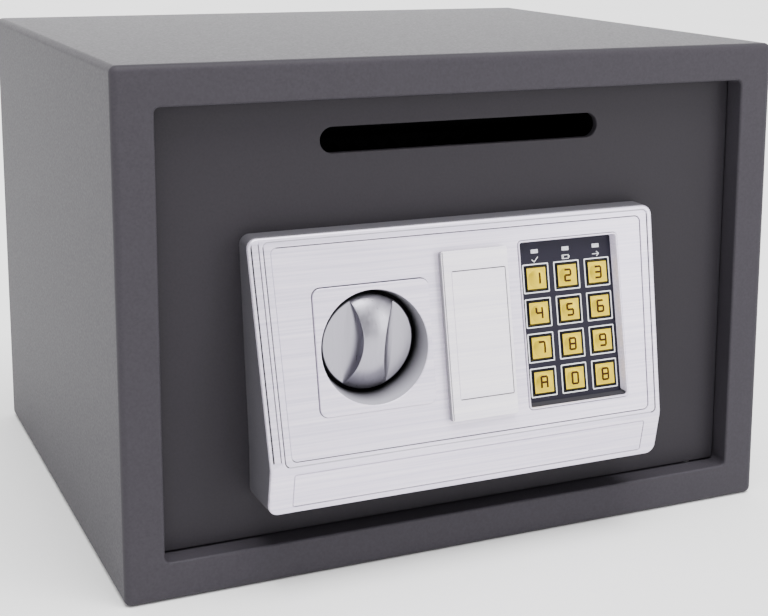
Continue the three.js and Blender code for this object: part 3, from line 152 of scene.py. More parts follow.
class Form:
    """Collects rings, caps and solids of one piece, in millimetres, and makes one mesh of them."""

    def __init__(self):
        self.points = []
        self.faces = []
        self.slots = []
        self.slot = 0

    def add(self, points, faces):
        start = len(self.points)
        self.points.extend(Vector(p) for p in points)
        for face in faces:
            self.faces.append(tuple(start + i for i in face))
            self.slots.append(self.slot)

    def loft(self, rings, closed=False, ends=False):
        """Quads between rings of equal count."""
        count = len(rings[0])
        points = [p for ring in rings for p in ring]
        faces = []
        last = len(rings) if closed else len(rings) - 1
        for r in range(last):
            a = r * count
            b = ((r + 1) % len(rings)) * count
            for i in range(count):
                j = (i + 1) % count
                faces.append((a + i, a + j, b + j, b + i))
        if ends:
            faces.append(tuple(range(count)))
            faces.append(tuple(range(len(points) - count, len(points))))
        self.add(points, faces)

    def walls(self, outline, profile, place):
        """A wall that follows an outline, through steps of inset and depth."""
        self.loft([[place(x, z, depth) for x, z in outline(inset)] for inset, depth in profile])

    def shade_sides(self, points, finish):
        """Gives the sides of the last wall their slots by the middle of each side, which paints shade on
        the sides where it falls.
        """
        for i, (x, z) in enumerate(points, -len(points)):
            next_x, next_z = points[(i + 1) % len(points)]
            self.slots[i] = finish((x + next_x) / 2, (z + next_z) / 2)

    def groove(self, outline, profile, place, floor, finish):
        """Walls of a groove whose floor takes another slot by its place, which paints shade in the groove.
        """
        for first, second in zip(profile, profile[1:]):
            self.walls(outline, (first, second), place)
            if min(first[1], second[1]) >= floor:
                self.shade_sides(outline(first[0]), finish)

    def cap(self, outer, holes, place, depth):
        """A face with holes at one depth."""
        points, faces = filled(outer, holes)
        self.add([place(x, z, depth) for x, z in points], faces)

    def raised(self, outline, profile, place):
        """A wall with a cap on its last ring."""
        self.walls(outline, profile, place)
        inset, depth = profile[-1]
        self.cap(outline(inset), [], place, depth)

    def mesh(self, name):
        mesh = bpy.data.meshes.new(name)
        mesh.from_pydata([p * MM for p in self.points], [], self.faces)
        mesh.polygons.foreach_set("material_index", self.slots)
        work = bmesh.new()
        work.from_mesh(mesh)
        bmesh.ops.remove_doubles(work, verts=work.verts, dist=MERGE_REACH)
        bmesh.ops.dissolve_degenerate(work, edges=work.edges, dist=1e-7)
        bmesh.ops.recalc_face_normals(work, faces=work.faces)
        work.to_mesh(mesh)
        work.free()
        return mesh

    def piece(self, name, slots, sharp=SHARP_ANGLE):
        """The piece, with the record's slot first and the finishes and painted shade of its details after
        it.
        """
        mesh = self.mesh(name)
        mesh.polygons.foreach_set("use_smooth", [True] * len(mesh.polygons))
        mesh.set_sharp_from_angle(angle=radians(sharp))
        for slot in slots:
            mesh.materials.append(FINISH[slot])
        obj = linked(name, mesh)
        weigh_normals(obj)
        return obj


def apply_modifiers(obj):
    """Puts the shape that the modifiers make in place of the piece's mesh."""
    bpy.context.view_layer.update()
    graph = bpy.context.evaluated_depsgraph_get()
    plain = obj.data
    obj.data = bpy.data.meshes.new_from_object(obj.evaluated_get(graph))
    obj.modifiers.clear()
    bpy.data.meshes.remove(plain)
    obj.data.name = obj.name


def weigh_normals(obj):
    """Lets large faces keep their own normal, so that only the narrow edges round off."""
    modifier = obj.modifiers.new("normals", "WEIGHTED_NORMAL")
    modifier.keep_sharp = True
    modifier.weight = 100
    apply_modifiers(obj)


def inside(point, loop):
    """Whether a point lies inside a closed line."""
    x, y = point
    within = False
    for (x0, y0), (x1, y1) in zip(loop, loop[1:] + loop[:1]):
        if (y0 > y) != (y1 > y) and x < (x1 - x0) * (y - y0) / (y1 - y0) + x0:
            within = not within
    return within


def filled(outer, holes):
    """Points and triangles of a flat region with holes."""
    points = []
    edges = []
    for loop in (outer, *holes):
        start = len(points)
        points.extend(Vector(p) for p in loop)
        edges.extend((start + i, start + (i + 1) % len(loop)) for i in range(len(loop)))
    found, _, triangles, *_ = delaunay_2d_cdt(points, edges, [], 0, 1e-5)
    kept = []
    for triangle in triangles:
        middle = sum((found[i] for i in triangle), Vector((0, 0))) / len(triangle)
        if inside(middle, outer) and not any(inside(middle, hole) for hole in holes):
            kept.append(triangle)
    return found, kept


def rect(x0, x1, z0, z1, radius, steps=6, stops=()):
    """The outline of a rounded rectangle, which can be set in by a margin."""

    def at(inset=0.0):
        r = max(radius - inset, 0.05)
        left, right, low, high = x0 + inset, x1 - inset, z0 + inset, z1 - inset
        centres = ((right - r, low + r), (right - r, high - r), (left + r, high - r), (left + r, low + r))
        points = []
        for corner, (cx, cz) in enumerate(centres):
            for i in range(steps + 1):
                angle = radians(90 * (corner - 1) + 90 * i / steps)
                points.append((cx + r * cos(angle), cz + r * sin(angle)))
            if corner == 0:
                points.extend((right, stop) for stop in sorted(stops))
            if corner == 2:
                points.extend((left, stop) for stop in sorted(stops, reverse=True))
        return points

    return at


def box_rect(low, high, radius, inset=0.0, steps=6, stops=()):
    """The rounded rectangle of a box seen from the front."""
    return rect(low.x + inset, high.x - inset, low.z + inset, high.z - inset, radius, steps, stops)


def leaning(outline, middle, low, high):
    """An outline whose upright sides lean in by the panel's taper, from the high level down to the low."""

    def at(inset=0.0):
        points = []
        for x, z in outline(inset):
            share = min(max((high - z) / (high - low), 0), 1)
            points.append((middle + (x - middle) * (1 - share * 2 * PANEL_TAPER / PANEL_WIDTH), z))
        return points

    return at


def centred(x, z, width, height, radius, steps=6):
    return rect(x - width / 2, x + width / 2, z - height / 2, z + height / 2, radius, steps)


def disc(x, z, radius, count=48, start=0):
    """The outline of a circle or an even polygon, which can be set in by a margin."""

    def at(inset=0.0):
        r = radius - inset
        turns = [radians(start) + 2 * pi * i / count for i in range(count)]
        return [(x + r * cos(a), z + r * sin(a)) for a in turns]

    return at


def upright(x, z, depth):
    """A place in the door's plane: depth is Y."""
    return Vector((x, depth, z))


def on_face(u, v, depth):
    """A place on the panel's tilted face: u from its middle, v up from its top edge, depth into it."""
    y = depth * cos(TILT) + v * sin(TILT)
    z = -depth * sin(TILT) + v * cos(TILT)
    return Vector((PANEL_X + u, DOOR_FRONT - TOP_PROUD + y, PANEL_TOP + z))


def on_panel(u, v, depth):
    """A place on the bent panel: v is minus the length down the face, past the kink and down the slope."""
    down = -v
    turn = TILT + SLOPE_TILT
    radius = BEND_REACH / tan(turn / 2)
    start = FACE_LENGTH - BEND_REACH
    if down <= start:
        return on_face(u, v, depth)
    centre = on_face(u, -start, radius)
    past = max(down - FACE_LENGTH - BEND_REACH, 0)
    lean = turn * min((down - start) / (2 * BEND_REACH), 1) - TILT
    outward = Vector((0, -cos(lean), -sin(lean)))
    downward = Vector((0, sin(lean), -cos(lean)))
    return centre + outward * (radius - depth) + downward * past


def quarter(steps):
    """The turns of a quarter circle."""
    return [radians(90 * i / steps) for i in range(steps + 1)]


def rounding(face, edge, way, steps=EDGE_STEPS):
    """Inset and depth of a rounded edge, from a plate's face to its side."""
    return [(edge * (1 - sin(a)), face + way * edge * (1 - cos(a))) for a in quarter(steps)]


def edge_profile(front, back, edge):
    """Inset and depth of a plate's rim, rounded at the front and at the back."""
    return rounding(front, edge, 1) + rounding(back, edge, -1)[::-1]


def slab(form, outline, holes, place, front, back, edge=0.3):
    """A plate with rounded edges, round its rim and its holes."""
    profile = edge_profile(front, back, edge)
    form.walls(outline, profile, place)
    for hole in holes:
        form.walls(hole, [(-inset, depth) for inset, depth in profile], place)
    grown = [hole(-edge) for hole in holes]
    for depth in (front, back):
        form.cap(outline(edge), grown, place, depth)


def turned(form, profile, place, count=48):
    """A turned body from radius and height, which starts and ends on its axis or closes on itself."""
    circles = [(disc(0, 0, max(radius, 1e-3), count)(), height) for radius, height in profile]
    form.loft([[place(x, z, height) for x, z in circle] for circle, height in circles], ends=True)


def cut(obj, *tools):
    """Takes the tools out of a piece."""
    for tool in tools:
        modifier = obj.modifiers.new("cut", "BOOLEAN")
        modifier.operation = "DIFFERENCE"
        modifier.object = tool
    apply_modifiers(obj)
    for tool in tools:
        bpy.data.objects.remove(tool)
    obj.data.set_sharp_from_angle(angle=radians(SHARP_ANGLE))
    weigh_normals(obj)


def cutter(outline, place, front, back):
    """A plain prism to cut with."""
    form = Form()
    form.loft([[place(x, z, depth) for x, z in outline()] for depth in (front, back)], ends=True)
    return linked("cutter", form.mesh("cutter"))


def level(x, y, height):
    """A place on a level plane: depth is Z."""
    return Vector((x, y, height))


def sideways(y, z, x):
    """A place on a plane across X."""
    return Vector((x, y, z))


def around(middle):
    """Places round an axis along Y."""
    return lambda x, z, depth: upright(middle.x + x, middle.z + z, depth)


def along_x(middle, way=1):
    """Places round an axis along X."""
    return lambda y, z, x: Vector((middle.x + way * x, middle.y + y, middle.z + z))


# Materials
FINISH = {}


def node(tree, kind, **inputs):
    """A new node, whose named inputs take a value or another node's output."""
    made = tree.nodes.new("ShaderNode" + kind)
    for name, value in inputs.items():
        socket = made.inputs[name.replace("_", " ").title()]
        if isinstance(value, bpy.types.NodeSocket):
            tree.links.new(value, socket)
        else:
            socket.default_value = value
    return made


def shader_input(made, name):
    return made.node_tree.nodes["Principled BSDF"].inputs[name]


def new_material(name, color, roughness, metallic=0.0, gloss=0.5):
    """A plain material, which FINISH keeps by its name."""
    made = bpy.data.materials.new(name)
    made.use_nodes = True
    made.diffuse_color = (*color, 1)
    plain = {"Roughness": roughness, "Metallic": metallic, "Specular IOR Level": gloss}
    for socket, value in {"Base Color": (*color, 1), **plain}.items():
        shader_input(made, socket).default_value = value
    FINISH[name] = made
    return made


def grain(made, scale, stretch=(1, 1, 1), detail=3.0):
    """Noise in object space, with scale in cells to the metre."""
    tree = made.node_tree
    coords = node(tree, "TexCoord")
    mapping = node(tree, "Mapping", vector=coords.outputs["Object"], scale=stretch)
    return node(tree, "TexNoise", vector=mapping.outputs["Vector"], scale=scale, detail=detail)


def ramp(tree, source, *stops):
    """A value spread over colours, each with its place."""
    spread = node(tree, "ValToRGB", fac=source.outputs[0])
    for element, (place, color) in zip(spread.color_ramp.elements, stops):
        element.position = place
        element.color = (*color, 1)
    return spread.outputs["Color"]


def vary(made, name, source, low, high, start=0.3, end=0.7):
    """Spreads an input of the shader between two colours."""
    color = ramp(made.node_tree, source, (start, low), (end, high))
    made.node_tree.links.new(color, shader_input(made, name))


def texture(made, color, source, factors, roughness, depth, strength):
    """Lets a noise vary colour (by two factors), roughness and relief (of a depth in millimetres)."""
    dark, light = (tuple(min(c * factor, 1.0) for c in color) for factor in factors)
    vary(made, "Base Color", source, dark, light)
    if roughness:
        low, high = ((value,) * 3 for value in roughness)
        vary(made, "Roughness", source, low, high)
    tree = made.node_tree
    bump = node(tree, "Bump", distance=depth * MM, strength=strength, height=source.outputs[0])
    tree.links.new(bump.outputs["Normal"], shader_input(made, "Normal"))


def powder_coat(name, color, roughness, gloss):
    made = new_material(name, color, roughness, gloss=gloss)
    spread = (roughness - 0.07, roughness + 0.07)
    texture(made, color, grain(made, 850, detail=5.0), (0.9, 1.1), spread, 0.05, 0.6)


def brushed(name, color, roughness, metallic=1.0, along=(12, 900, 900), contrast=0.045):
    made = new_material(name, color, roughness, metallic)
    spread = (roughness - 0.05, roughness + 0.08)
    texture(made, color, grain(made, 1.0, along, 4.0), (1 - contrast, 1 + contrast), spread, 0.004, 0.35)


def moulded(name, color, roughness, scale=1500, depth=0.01, contrast=0.04, gloss=0.5):
    made = new_material(name, color, roughness, gloss=gloss)
    spread = (roughness - 0.04, roughness + 0.04)
    texture(made, color, grain(made, scale), (1 - contrast, 1 + contrast), spread, depth, 0.5)


def well_shade(name, low, high):
    """Painted shade on the well's wall: dark at its mouth in the panel, where the gap round the knob lies
    in shadow, and lighter towards the front.
    """
    made = new_material(name, high, 0.4)
    tree = made.node_tree
    parts = node(tree, "SeparateXYZ", vector=node(tree, "TexCoord").outputs["Object"])
    mouth = DOOR_FRONT - WELL_PROUD
    ends = {"from_min": (mouth - WELL_DARK) * MM, "from_max": (mouth - WELL_LIGHT) * MM}
    vary(made, "Base Color", node(tree, "MapRange", value=parts.outputs["Y"], **ends), low, high, 0, 1)


def felt(name, color):
    made = new_material(name, color, 0.95)
    texture(made, color, grain(made, 1400, detail=6.0), (0.6, 1.5), None, 0.4, 0.8)
    shader_input(made, "Sheen Weight").default_value = 0.3


# Finishes that the record names
powder_coat("body_paint", (0.0395, 0.036, 0.0432), 0.5, 0.1)
powder_coat("door_paint", (0.0235, 0.021, 0.0255), 0.55, 0.15)
# duct_paint is made near black so that the inside of the door's slot reads as deep shade: partly a black
# coat, partly painted shade
powder_coat("duct_paint", (0.004, 0.004, 0.0045), 0.9, 0.05)
brushed("zinc", (0.4, 0.41, 0.39), 0.38)
brushed("bright_steel", (0.62, 0.62, 0.63), 0.28)
brushed("brass", (0.6, 0.43, 0.14), 0.32)
brushed("copper_winding", (0.5, 0.2, 0.08), 0.35, along=(40, 40, 5000))
felt("felt", (0.03, 0.03, 0.033))
moulded("dark_housing", (0.08, 0.0765, 0.088), 0.5, scale=1200, depth=0.02)
brushed("silver_panel", (0.83, 0.765, 0.955), 0.34, 0.45, contrast=0.13)
brushed("silver_knob", (0.38, 0.366, 0.42), 0.32, along=(700, 700, 40))
moulded("navy_label", (0.0135, 0.012, 0.022), 0.5, gloss=0.15)
brushed("gold_key", (0.68, 0.5, 0.02), 0.4, 0.95, along=(300, 900, 300))
moulded("black_plastic", (0.012, 0.012, 0.013), 0.5, scale=900, depth=0.03)
moulded("pale_lens", (0.72, 0.72, 0.78), 0.25, scale=2600, contrast=0.3)
moulded("grey_rubber", (0.26, 0.26, 0.27), 0.8)
moulded("board_green", (0.03, 0.15, 0.06), 0.35)
moulded("cell_wrap", (0.045, 0.05, 0.06), 0.3)
moulded("red_plastic", (0.45, 0.02, 0.015), 0.35)
moulded("ribbon", (0.17, 0.17, 0.18), 0.5)

# Finishes of details, and painted shade for grooves, sides and the well
moulded("white_ink", (0.85, 0.85, 0.88), 0.5)
moulded("black_ink", (0.006, 0.006, 0.009), 0.5, gloss=0.1)
moulded("brown_ink", (0.042, 0.016, 0.007), 0.6, gloss=0.05)
# Painted shade: near black for groove floors, the cover's dark line and the window's lower wall, where
# shade falls
moulded("groove_shade", (0.03, 0.029, 0.035), 0.6, gloss=0.1)
brushed("silver_cover", (0.94, 0.88, 1.0), 0.34, 0.35, contrast=0.08)
# Painted shade: mid grey for the soft shaded lines in the mouldings and groove floors
moulded("silver_shade", (0.5, 0.485, 0.54), 0.4)
# Painted shade: the well's wall is black at its mouth, where the gap round the knob lies in shadow
well_shade("well_shadow", (0.006, 0.006, 0.007), (0.36, 0.35, 0.4))
# Painted shade: darker silver for the cover plate's side walls and back, which lie in shade
moulded("side_shade", (0.2, 0.195, 0.215), 0.4)


def finish_nodes():
    """Gives every node of the solids the finish that the record names."""
    for part in frame["record"]["subparts"]:
        data = frame["nodes"][part["node"]].data
        made = FINISH[part["material_slot"]]
        if not data.materials:
            data.materials.append(made)
        for i in range(len(data.materials)):
            data.materials[i] = made


def standing_for(piece, body, *nodes):
    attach(piece, body)
    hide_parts(*nodes)
    return piece


# Body


def safe_body():
    """The folded body: rear fold, sides, front frame, turned-in lip and two door stops."""
    front, rear = body_low.y, body_high.y

    def ring(inset, y, radius):
        return [upright(x, z, y) for x, z in box_rect(body_low, body_high, radius, inset)()]

    rings = [ring(REAR_FOLD, rear - WALL, OPENING_RADIUS), ring(REAR_FOLD, rear, OPENING_RADIUS)]
    bends = rounding(rear, BEND, -1, BEND_STEPS) + rounding(front, BEND, 1, BEND_STEPS)[::-1]
    rings += [ring(inset, y, max(BEND - inset, SHARP)) for inset, y in bends]
    fold = rounding(front, LIP_FOLD, 1, BEND_STEPS)
    rings += [ring(FLANGE - inset, y, OPENING_RADIUS + inset) for inset, y in fold]
    back = front + LIP_DEPTH
    rings += [
        ring(FLANGE, back, OPENING_RADIUS),
        ring(FLANGE - WALL, back, OPENING_RADIUS + WALL),
        ring(FLANGE - WALL, front + WALL, OPENING_RADIUS + WALL),
        ring(WALL, front + WALL, SHARP),
        ring(WALL, rear - WALL, SHARP),
    ]
    form = Form()
    form.loft(rings, closed=True)
    stop_left = door_low.x + 2 * DOOR_RADIUS
    for z0, z1 in (
        (door_high.z - STOP_REACH, body_high.z - FLANGE + WALL / 2),
        (body_low.z + FLANGE - WALL / 2, door_low.z + STOP_REACH),
    ):
        stop = rect(stop_left, stop_left + STOP_WIDTH, z0, z1, 1.0)
        slab(form, stop, [], upright, DOOR_BACK + HOUSING_GAP, back)
    piece = form.piece("safe_body", ["body_paint"], 25)
    lips = (body_low.z + FLANGE, body_high.z - FLANGE)
    cut(piece, *(cutter(pin_hole(RUN_GAP), level, z - 2 * WALL, z + 2 * WALL) for z in lips))
    standing_for(piece, "case", "body_shell")


def pin_hole(extra):
    """The outline of a hinge pin with a clearance."""
    middle, half = middle_and_half("hinge_pin_top")
    return disc(middle.x, middle.y, half.x + extra, 24)


# Door


def safe_door():
    """The door with its slot, the studs of the inner cover and the grooves of the hinge pins."""
    form = Form()
    outline = box_rect(door_low, door_high, DOOR_RADIUS)
    slot = centred(0, body_high.z - SLOT_BELOW, SLOT_LENGTH, SLOT_HEIGHT, SLOT_HEIGHT / 2, 12)
    slab(form, outline, [slot], upright, DOOR_FRONT, DOOR_BACK, DOOR_EDGE)
    root, tip = DOOR_BACK - 1, door_high.y
    stud = [(0, root), (STUD_RADIUS, root), (STUD_RADIUS, tip - STUD_CHAMFER)]
    stud += [(STUD_RADIUS - STUD_CHAMFER, tip), (0, tip)]
    for nut in ("cover_nut_lower", "cover_nut_upper"):
        turned(form, stud, around(middle_and_half(nut)[0]), 24)
    piece = form.piece("safe_door", ["door_paint"])
    grooves = []
    for pin in ("hinge_pin_top", "hinge_pin_bottom"):
        low, high = span(pin)
        grooves.append(cutter(pin_hole(RUN_GAP / 3), level, low.z - RUN_GAP, high.z + RUN_GAP))
    cut(piece, *grooves)
    standing_for(piece, "door", "door_plate")


# Lock panel


def panel_housing():
    """The dark box that carries the panel, with its well, window and lock recess left open."""
    depth = BEZEL_SHEET + HOUSING_GAP
    edge = 0.4
    outline = box_rect(*span("panel_housing"), PANEL_RADIUS, 0, 8, (KINK_Z,))
    outline = leaning(outline, PANEL_X, KINK_Z, PANEL_TOP)

    def front(x, z):
        if z >= KINK_Z:
            return DOOR_FRONT - TOP_PROUD - (PANEL_TOP - z) * tan(TILT) + depth / cos(TILT)
        return bezel_low.y + (KINK_Z - z) * tan(SLOPE_TILT) + depth / cos(SLOPE_TILT)

    form = Form()
    rings = [[upright(x, z, DOOR_FRONT) for x, z in outline()]]
    for inset, back in ((0, edge), (edge * 0.3, edge * 0.3), (edge, 0)):
        rings.append([upright(x, z, front(x, z) + back) for x, z in outline(inset)])
    form.loft(rings)
    loop = outline(edge)
    upper = [(x, z) for x, z in loop if z >= KINK_Z - 1e-6]
    lower = [(x, z) for x, z in loop if z <= KINK_Z + 1e-6]
    down = cos(TILT)
    holes = [well_hole(0.5), window_outline(2.5), hatch_outline()]
    flat = [[(PANEL_X + u, PANEL_TOP + v * down) for u, v in hole()] for hole in holes]
    for part, gaps in ((upper, flat), (lower, [])):
        points, faces = filled(part, gaps)
        form.add([upright(x, z, front(x, z)) for x, z in points], faces)
    hatch = holes[2]
    form.walls(hatch, [(0, depth), (0.3, depth + 0.1), (0.3, LOCK_SETBACK)], on_face)
    form.cap(hatch(0.3), [disc(COVER_U, LOCK_V, LOCK_RADIUS)()], on_face, LOCK_SETBACK)
    for hole in holes[:2]:
        form.walls(hole, [(0, depth), (0, depth + 2)], on_face)
    standing_for(form.piece("panel_box", ["dark_housing"]), "door", "panel_housing")


# Places on the face: u across from the panel's middle, v up from its top edge
KNOB_X, _, KNOB_Z = (knob_low + knob_high) / 2
KNOB_U = KNOB_X - PANEL_X
KNOB_V = -(PANEL_TOP - KNOB_Z) / cos(TILT)
ROUND_PLATE_WIDTH = 59.0
ROUND_PLATE_HEIGHT = 60.0
ROUND_PLATE_RADIUS = 4.0
WELL_RADIUS = 27.2
WELL_MOUTH = 25.0
WELL_WALL = 1.6
WELL_SIDES = 64
FIELD_DEPTH = 0.6
WINDOW_U = 58.3
WINDOW_TOP = 13.3
WINDOW_WIDTH = 55.2
WINDOW_HEIGHT = 82.0
WINDOW_V = -WINDOW_TOP - WINDOW_HEIGHT / 2
WINDOW_RADIUS = 2.5
WINDOW_DEPTH = 4.0
WINDOW_LIP = 1.2
WINDOW_SLANT_RIGHT = 1.3
WINDOW_SLANT_LOW = 2.0
WINDOW_SHADE = 4.0
SEAT_GAP = 0.4
SEAT_SHIFT = 0.25
COVER_U = 4.1
COVER_TOP = 13.9
COVER_RISE = 3.0
COVER_FIELD_SHIFT = 1.6
COVER_FIELD_WIDTH = 29.6
COVER_FIELD_HEIGHT = 62.5
COVER_WIDTH = 35.6
COVER_HEIGHT = 82.0
COVER_V = -COVER_TOP - COVER_HEIGHT / 2
CLIP_REACH = 11.35
HATCH_WIDTH = 29.0
HATCH_HEIGHT = 68.0
LOCK_SETBACK = 9.0
LOCK_V = -54.0 / cos(TILT)
LOCK_RADIUS = 9.3


def well_hole(extra):
    return disc(KNOB_U, KNOB_V, WELL_RADIUS + WELL_WALL + extra, WELL_SIDES)


def window_outline(extra=0.0):
    return centred(WINDOW_U, WINDOW_V, WINDOW_WIDTH + 2 * extra, WINDOW_HEIGHT + 2 * extra, WINDOW_RADIUS)


def window_floor():
    """Where the window's walls meet the label: they slant in on the right and at the bottom."""
    left = WINDOW_U - WINDOW_WIDTH / 2
    right = WINDOW_U + WINDOW_WIDTH / 2
    bottom = WINDOW_V - WINDOW_HEIGHT / 2
    top = WINDOW_V + WINDOW_HEIGHT / 2
    return rect(left + 0.2, right - WINDOW_SLANT_RIGHT, bottom + WINDOW_SLANT_LOW, top - 0.3, 1.0)()


def hatch_outline():
    return centred(COVER_U, COVER_V, HATCH_WIDTH, HATCH_HEIGHT, 1.0)


# Mouldings: distances from the panel's edges, and depths of the grooves
RIM_EDGE = 1.2
STEP_LEFT = 6.9
STEP_RIGHT = 2.7
STEP_TOP = 1.8
FIELD_LEFT = 10.4
FIELD_RIGHT = 7.0
FIELD_TOP = 4.8
FIELD_FOOT = 2.2
FIELD_LEVEL = 0.2
VALLEY = 0.5
RIDGE = (
    (RIM_EDGE, 0), (1.3, VALLEY), (2.0, VALLEY), (2.1, 0.4), (3.6, 0.2),
    (4.9, 0), (5.0, VALLEY), (5.4, VALLEY), (5.5, 0), (STEP_LEFT, 0),
)
RIDGE_FADE = 1.6
SLOPE_LEFT = 14.7
SLOPE_RIGHT = 12.7
SLOPE_FOOT = 3.2
SLOPE_HEAD = 3.0


def ridge_depth(u, v):
    """Depth of the moulding along the panel's left edge, which fades out at the kink and at the top."""
    across = u + PANEL_WIDTH / 2 + PANEL_TAPER * v / FACE_LENGTH
    fade = min((v + FACE_LENGTH - BEND_REACH) / RIDGE_FADE, (-v - RIM_EDGE) / RIDGE_FADE, 1)
    if fade <= 0:
        return 0.0
    for (a, low), (b, high) in zip(RIDGE, RIDGE[1:]):
        if a <= across <= b:
            return fade * (low + (high - low) * (across - a) / (b - a))
    return 0.0


def bent_sheet(form, outer, holes, bend):
    """The flat of the panel between its rim and its reliefs, divided along the bend and the moulding."""
    points, faces = filled(outer, holes)
    flat = bmesh.new()
    verts = [flat.verts.new((p.x, p.y, 0)) for p in points]
    for face in faces:
        flat.faces.new([verts[i] for i in face])
    fades = (-RIM_EDGE - RIDGE_FADE, -FACE_LENGTH + BEND_REACH + RIDGE_FADE)
    planes = [((0, level, 0), (0, 1, 0)) for level in (*bend, *fades)]
    planes += [((d - PANEL_WIDTH / 2, 0, 0), (FACE_LENGTH, PANEL_TAPER, 0)) for d, _ in RIDGE[1:-1]]
    for place, normal in planes:
        everything = flat.verts[:] + flat.edges[:] + flat.faces[:]
        bmesh.ops.bisect_plane(flat, geom=everything, plane_co=place, plane_no=normal)
    flat.verts.index_update()
    places = [on_panel(v.co.x, v.co.y, ridge_depth(v.co.x, v.co.y)) for v in flat.verts]
    # Painted shade: faces at the floor of the moulding's valleys take the near-black slot
    for slot in (0, 1):
        form.slot = slot
        faces = []
        for face in flat.faces:
            middle = face.calc_center_median()
            if (ridge_depth(middle.x, middle.y) > VALLEY * 0.9) == slot:
                faces.append([v.index for v in face.verts])
        form.add(places, faces)
    form.slot = 0
    flat.free()


def panel_cover():
    """The bent silver panel: rounded rim, mouldings, sunk field, window walls and outline on the slope,
    with painted shade in its grooves and on the window's lower wall.
    """
    left, right = -PANEL_WIDTH / 2, PANEL_WIDTH / 2
    bottom = -FACE_LENGTH - SLOPE_LENGTH
    bend = [-FACE_LENGTH + BEND_REACH * step / 3 for step in range(-3, 4)]

    def lean(*sides):
        return leaning(rect(*sides), 0, -FACE_LENGTH, 0)

    foot = -FACE_LENGTH + BEND_REACH * 0.2
    rim = lean(left, right, bottom, 0, PANEL_RADIUS, 8, bend)
    step = lean(left + STEP_LEFT, right - STEP_RIGHT, foot, -STEP_TOP, 3.0, 8)
    field = lean(left + FIELD_LEFT, right - FIELD_RIGHT, foot + FIELD_FOOT, -FIELD_TOP, 3.2, 8)
    head = -FACE_LENGTH - SLOPE_HEAD
    slope = rect(left + SLOPE_LEFT, right - SLOPE_RIGHT, bottom + SLOPE_FOOT, head, 1.5)
    form = Form()
    edge = [(RIM_EDGE * (1 - cos(a)), RIM_EDGE * (1 - sin(a))) for a in quarter(5)]
    form.walls(rim, [(RIM_EDGE, BEZEL_SHEET), (0, BEZEL_SHEET), *edge], on_panel)
    bent_sheet(form, rim(RIM_EDGE), [step(), slope()], bend)
    # Painted shade: the floors of the grooves round the step, the field and the outline on the slope are
    # near black on most sides and mid grey on the rest
    ditch = [(0, 0), (0.1, 0.05), (0.12, VALLEY), (0.7, VALLEY), (0.8, FIELD_LEVEL)]
    form.groove(step, ditch, on_panel, VALLEY, lambda u, v: 1 if abs(u) > right - 12 and v < -4 else 2)
    form.cap(step(0.8), [field()], on_panel, FIELD_LEVEL)
    low = FIELD_DEPTH + 0.4
    drop = [(0, FIELD_LEVEL), (0.05, FIELD_LEVEL + 0.03), (0.1, low), (0.5, low), (0.6, FIELD_DEPTH)]
    form.groove(field, drop, on_panel, low, lambda u, v: 1 if u > left + 14 else 2)
    ditch = [(0, 0), (0.1, 0.03), (0.15, VALLEY), (0.55, VALLEY), (0.65, 0.03), (1.1, 0.0)]
    form.groove(slope, ditch, on_panel, VALLEY, lambda u, v: 1 if u > left + 17 and v < head - 2 else 2)
    form.cap(slope(1.1), [], on_panel, 0.0)
    seat = round_plate(SEAT_GAP, SEAT_SHIFT)
    lip = window_outline(WINDOW_LIP)
    hatch = hatch_outline()
    form.cap(field(0.6), [seat(), lip(), hatch()], on_face, FIELD_DEPTH)
    # Painted shade: the floor of the groove round the window's lip is near black all round
    ditch = [(0, FIELD_DEPTH), (0.1, low), (0.35, low), (0.45, 0.2), (0.75, 0.1), (1.0, 0.15), (1.2, 0.4)]
    form.groove(lip, ditch, on_face, low, lambda u, v: 1)
    floor = window_floor()
    sides = list(zip(lip(1.2), floor))
    rings = []
    for share, depth in ((0, 0.4), (0.1, 0.9), (1, WINDOW_DEPTH)):
        rings.append([on_face(u + (s - u) * share, v + (t - v) * share, depth) for (u, v), (s, t) in sides])
    form.loft(rings)
    # Painted shade: the window's lower wall takes the near-black slot, where shade falls
    shaded = WINDOW_V - WINDOW_HEIGHT / 2 + WINDOW_SHADE
    form.shade_sides(floor, lambda u, v: 1 if v < shaded else 0)
    for hole in (seat, hatch):
        form.walls(hole, [(0, FIELD_DEPTH), (-0.05, FIELD_DEPTH + 0.05), (-0.05, BEZEL_SHEET)], on_face)
    piece = form.piece("panel_cover", ["silver_panel", "groove_shade", "silver_shade"], 30)
    standing_for(piece, "door", "panel_bezel")


def round_plate(extra=0.0, shift=0.0):
    width = ROUND_PLATE_WIDTH + 2 * extra
    height = ROUND_PLATE_HEIGHT + 2 * extra
    return centred(KNOB_U - shift, KNOB_V + shift, width, height, ROUND_PLATE_RADIUS + extra)


def well_plate():
    """The square plate round the knob, with a well that leads from the tilted face to an upright mouth."""
    form = Form()
    outline = round_plate()
    edge = 0.35
    rim = disc(KNOB_U, KNOB_V, WELL_RADIUS, WELL_SIDES)
    outer = well_hole(0)
    form.walls(outline, edge_profile(0, BEZEL_SHEET, edge), on_face)
    form.cap(outline(edge), [rim(-0.5)], on_face, 0)
    form.cap(outline(edge), [outer()], on_face, BEZEL_SHEET)
    form.walls(rim, [(-0.5, 0), (-0.25, 0.05), (-0.07, 0.2), (0, 0.5)], on_face)

    def mouth(radius, y):
        return [upright(x, z, y) for x, z in disc(KNOB_X, KNOB_Z, radius, WELL_SIDES)()]

    mouth_y = DOOR_FRONT - WELL_PROUD
    # Painted shade: the well's wall is black at its mouth, where the gap round the knob lies in shadow
    form.slot = 1
    form.loft([
        [on_face(u, v, 0.5) for u, v in rim()],
        mouth(WELL_MOUTH, mouth_y - 0.3),
        mouth(WELL_MOUTH + 0.2, mouth_y),
        mouth(WELL_MOUTH + WELL_WALL, mouth_y),
        [on_face(u, v, BEZEL_SHEET) for u, v in outer()],
    ])
    piece = form.piece("well_plate", ["silver_panel", "well_shadow"], 40)
    standing_for(piece, "door", "knob_escutcheon")


